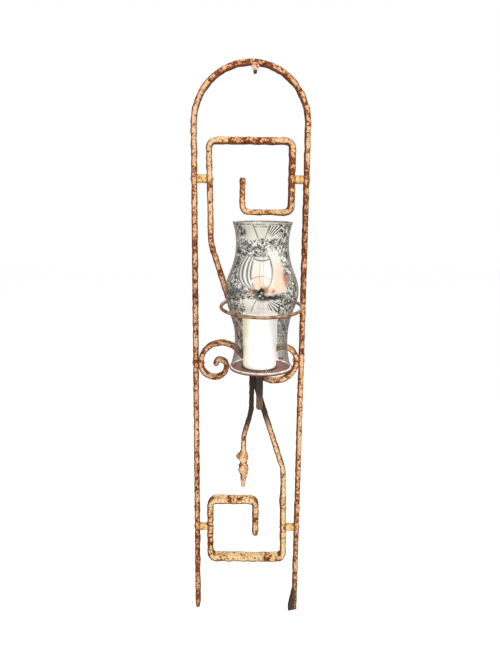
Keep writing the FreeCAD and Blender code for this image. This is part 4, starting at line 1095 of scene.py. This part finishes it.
class SCONCE_OT_candle(Operator):
    """Casts the pillar candle and braids its wick"""
    bl_idname = "sconce.candle"
    bl_label = "Candle"

    def execute(self, context):
        candle = context.scene.sconce_candle
        middle = (WAX_LOW + WAX_HIGH) / 2
        foot = Vector((middle.x, middle.y, WAX_LOW.z))
        radius = (WAX_HIGH.x - WAX_LOW.x) / 2
        top = WAX_HIGH.z - WAX_LOW.z
        bore = 1.1 * MM
        profile = [
            (0.0, 0.0), (radius - 5.5 * MM, 0.0), (radius - 2.6 * MM, 0.5 * MM),
            (radius - 0.8 * MM, 1.9 * MM), (radius - 0.1 * MM, 4.2 * MM),
        ]
        profile += [(radius - 0.12 * MM * (step % 2), top * (0.12 + 0.2 * step)) for step in range(4)]
        profile += [
            (radius - 0.1 * MM, top - 4.0 * MM), (radius - 0.7 * MM, top - 1.6 * MM),
            (radius - 2.2 * MM, top - 0.25 * MM), (radius - 4.0 * MM, top + 0.1 * MM),
            (radius - 8 * MM, top + 0.4 * MM), (radius * 0.45, top + 1.0 * MM),
            (3.2 * MM, top + 1.3 * MM), (1.9 * MM, top + 1.2 * MM),
            (bore, top + 0.8 * MM), (bore, top - 13.8 * MM), (0.0, top - 13.8 * MM),
        ]
        bm = spun(profile, foot, 96)
        pillar = new_piece(bm, "cast_candle", wax_material(candle), "candle", ("candle_wax",))
        curved(pillar)

        bm = bmesh.new()
        height = WICK_HIGH.z - WICK_LOW.z
        strand = 0.52 * MM
        twist = Matrix.Rotation(math.tau / 14, 3, "Z")
        for turn in range(3):
            start = math.tau * turn / 3
            disc = bmesh.ops.create_circle(bm, segments=8, radius=strand, cap_ends=True)["verts"]
            aside = Vector((math.cos(start), math.sin(start), 0)) * 0.42 * MM
            bmesh.ops.translate(bm, verts=disc, vec=aside)
            for step in range(44):
                edges = [edge for edge in bm.edges if all(vert in disc for vert in edge.verts)]
                grown = bmesh.ops.extrude_edge_only(bm, edges=edges)["geom"]
                disc = [item for item in grown if isinstance(item, bmesh.types.BMVert)]
                bmesh.ops.translate(bm, verts=disc, vec=(0, 0, height / 44))
                bmesh.ops.rotate(bm, verts=disc, cent=(0, 0, 0), matrix=twist)
            bmesh.ops.contextual_create(bm, geom=disc)
        bmesh.ops.recalc_face_normals(bm, faces=bm.faces)
        centre = (WICK_LOW + WICK_HIGH) / 2
        bmesh.ops.translate(bm, verts=bm.verts, vec=(centre.x, centre.y, WICK_LOW.z))
        new_piece(bm, "braided_wick", wick_material(candle), "candle", ("candle_wick",))
        return {"FINISHED"}


# ---------------------------------------------------------------- stage

def add_lamp(name, place, power):
    """A large round lamp turned towards the sconce."""
    lamp = bpy.data.lights.new(name, "AREA")
    lamp.shape = "DISK"
    lamp.size = LAMP_SIZE
    lamp.energy = power
    holder = bpy.data.objects.new(name, lamp)
    holder.location = place
    holder.rotation_euler = (Vector(LAMP_AIM) - Vector(place)).to_track_quat("-Z", "Y").to_euler()
    bpy.context.scene.collection.objects.link(holder)


class SCONCE_OT_stage(Operator):
    """Sets the camera, the lamps, the room's light and the floor"""
    bl_idname = "sconce.stage"
    bl_label = "Stage"

    def execute(self, context):
        scene = context.scene
        stage = scene.sconce_stage
        scene.view_settings.view_transform = "Standard"

        camera = bpy.data.cameras.new("camera")
        camera.sensor_fit = "AUTO"
        camera.sensor_width = SENSOR
        camera.lens = SENSOR * stage.focal_pixels / max(PIXELS)
        camera.clip_end = 20
        holder = bpy.data.objects.new("camera", camera)
        holder.location = stage.camera
        look = Matrix.Rotation(math.pi / 2 - stage.pitch, 4, "X") @ Matrix.Rotation(stage.roll, 4, "Z")
        holder.rotation_euler = look.to_euler()
        scene.collection.objects.link(holder)
        scene.camera = holder

        for name, place, power in (
            ("key_lamp", (0.75, -1.65, 1.0), stage.key_light),
            ("fill_lamp", (-0.9, -1.5, -1.0), stage.fill_light),
            ("back_lamp", (0.6, 1.6, 0.8), stage.back_light),
        ):
            add_lamp(name, place, power)

        studio = Shader(bpy.data.worlds.new("studio"))
        room, white = (
            studio.node("ShaderNodeBackground", {}, {"Color": (1, 1, 1), "Strength": strength}, "Background")
            for strength in (stage.room_light, 1.0))
        scene.world = studio.finish(studio.white_seen(room, white), "ShaderNodeOutputWorld")

        pale = new_shader("pale_floor")
        matt = pale.node("ShaderNodeBsdfDiffuse", {}, {"Color": FLOOR_GREY}, "BSDF")
        glow = pale.node("ShaderNodeEmission", {}, {"Strength": stage.floor_white}, "Emission")
        both = pale.node("ShaderNodeAddShader", {}, {0: matt, 1: glow}, "Shader")
        coat = pale.finish(pale.white_seen(matt, both))
        bm = bmesh.new()
        bmesh.ops.create_grid(bm, x_segments=1, y_segments=1, size=FLOOR_HALF_WIDTH,
                              matrix=Matrix.Translation((0, 0, -stage.floor_drop)))
        mesh = bpy.data.meshes.new("floor")
        bm.to_mesh(mesh)
        bm.free()
        mesh.materials.append(coat)
        floor = bpy.data.objects.new("floor", mesh)
        scene.collection.objects.link(floor)
        return {"FINISHED"}


# ---------------------------------------------------------------- the add-on

class SCONCE_PT_panel(Panel):
    """Lists the sconce's operators"""
    bl_idname = "SCONCE_PT_panel"
    bl_label = "Candle Sconce"
    bl_space_type = "VIEW_3D"
    bl_region_type = "UI"
    bl_category = "Sconce"

    def draw(self, context):
        for operator in OPERATORS:
            self.layout.operator(operator.bl_idname)
        for name in SETTINGS:
            box = self.layout.box()
            group = getattr(context.scene, name)
            for prop in group.bl_rna.properties:
                if prop.identifier not in ("rna_type", "name"):
                    box.prop(group, prop.identifier)


SETTINGS = {
    "sconce_bars": SCONCE_PG_bars,
    "sconce_glass": SCONCE_PG_glass,
    "sconce_fittings": SCONCE_PG_fittings,
    "sconce_candle": SCONCE_PG_candle,
    "sconce_stage": SCONCE_PG_stage,
}
OPERATORS = (
    SCONCE_OT_stage,
    SCONCE_OT_bars,
    SCONCE_OT_strap,
    SCONCE_OT_ring,
    SCONCE_OT_dish,
    SCONCE_OT_spacers,
    SCONCE_OT_screw,
    SCONCE_OT_glass,
    SCONCE_OT_candle,
)


def register():
    for cls in (*SETTINGS.values(), *OPERATORS, SCONCE_PT_panel):
        bpy.utils.register_class(cls)
    for name, group in SETTINGS.items():
        setattr(bpy.types.Scene, name, PointerProperty(type=group))


def unregister():
    for name in SETTINGS:
        delattr(bpy.types.Scene, name)
    for cls in reversed((*SETTINGS.values(), *OPERATORS, SCONCE_PT_panel)):
        bpy.utils.unregister_class(cls)


def main():
    register()
    for operator in OPERATORS:
        getattr(bpy.ops.sconce, operator.bl_idname.split(".")[1])()


if __name__ == "__main__":
    main()
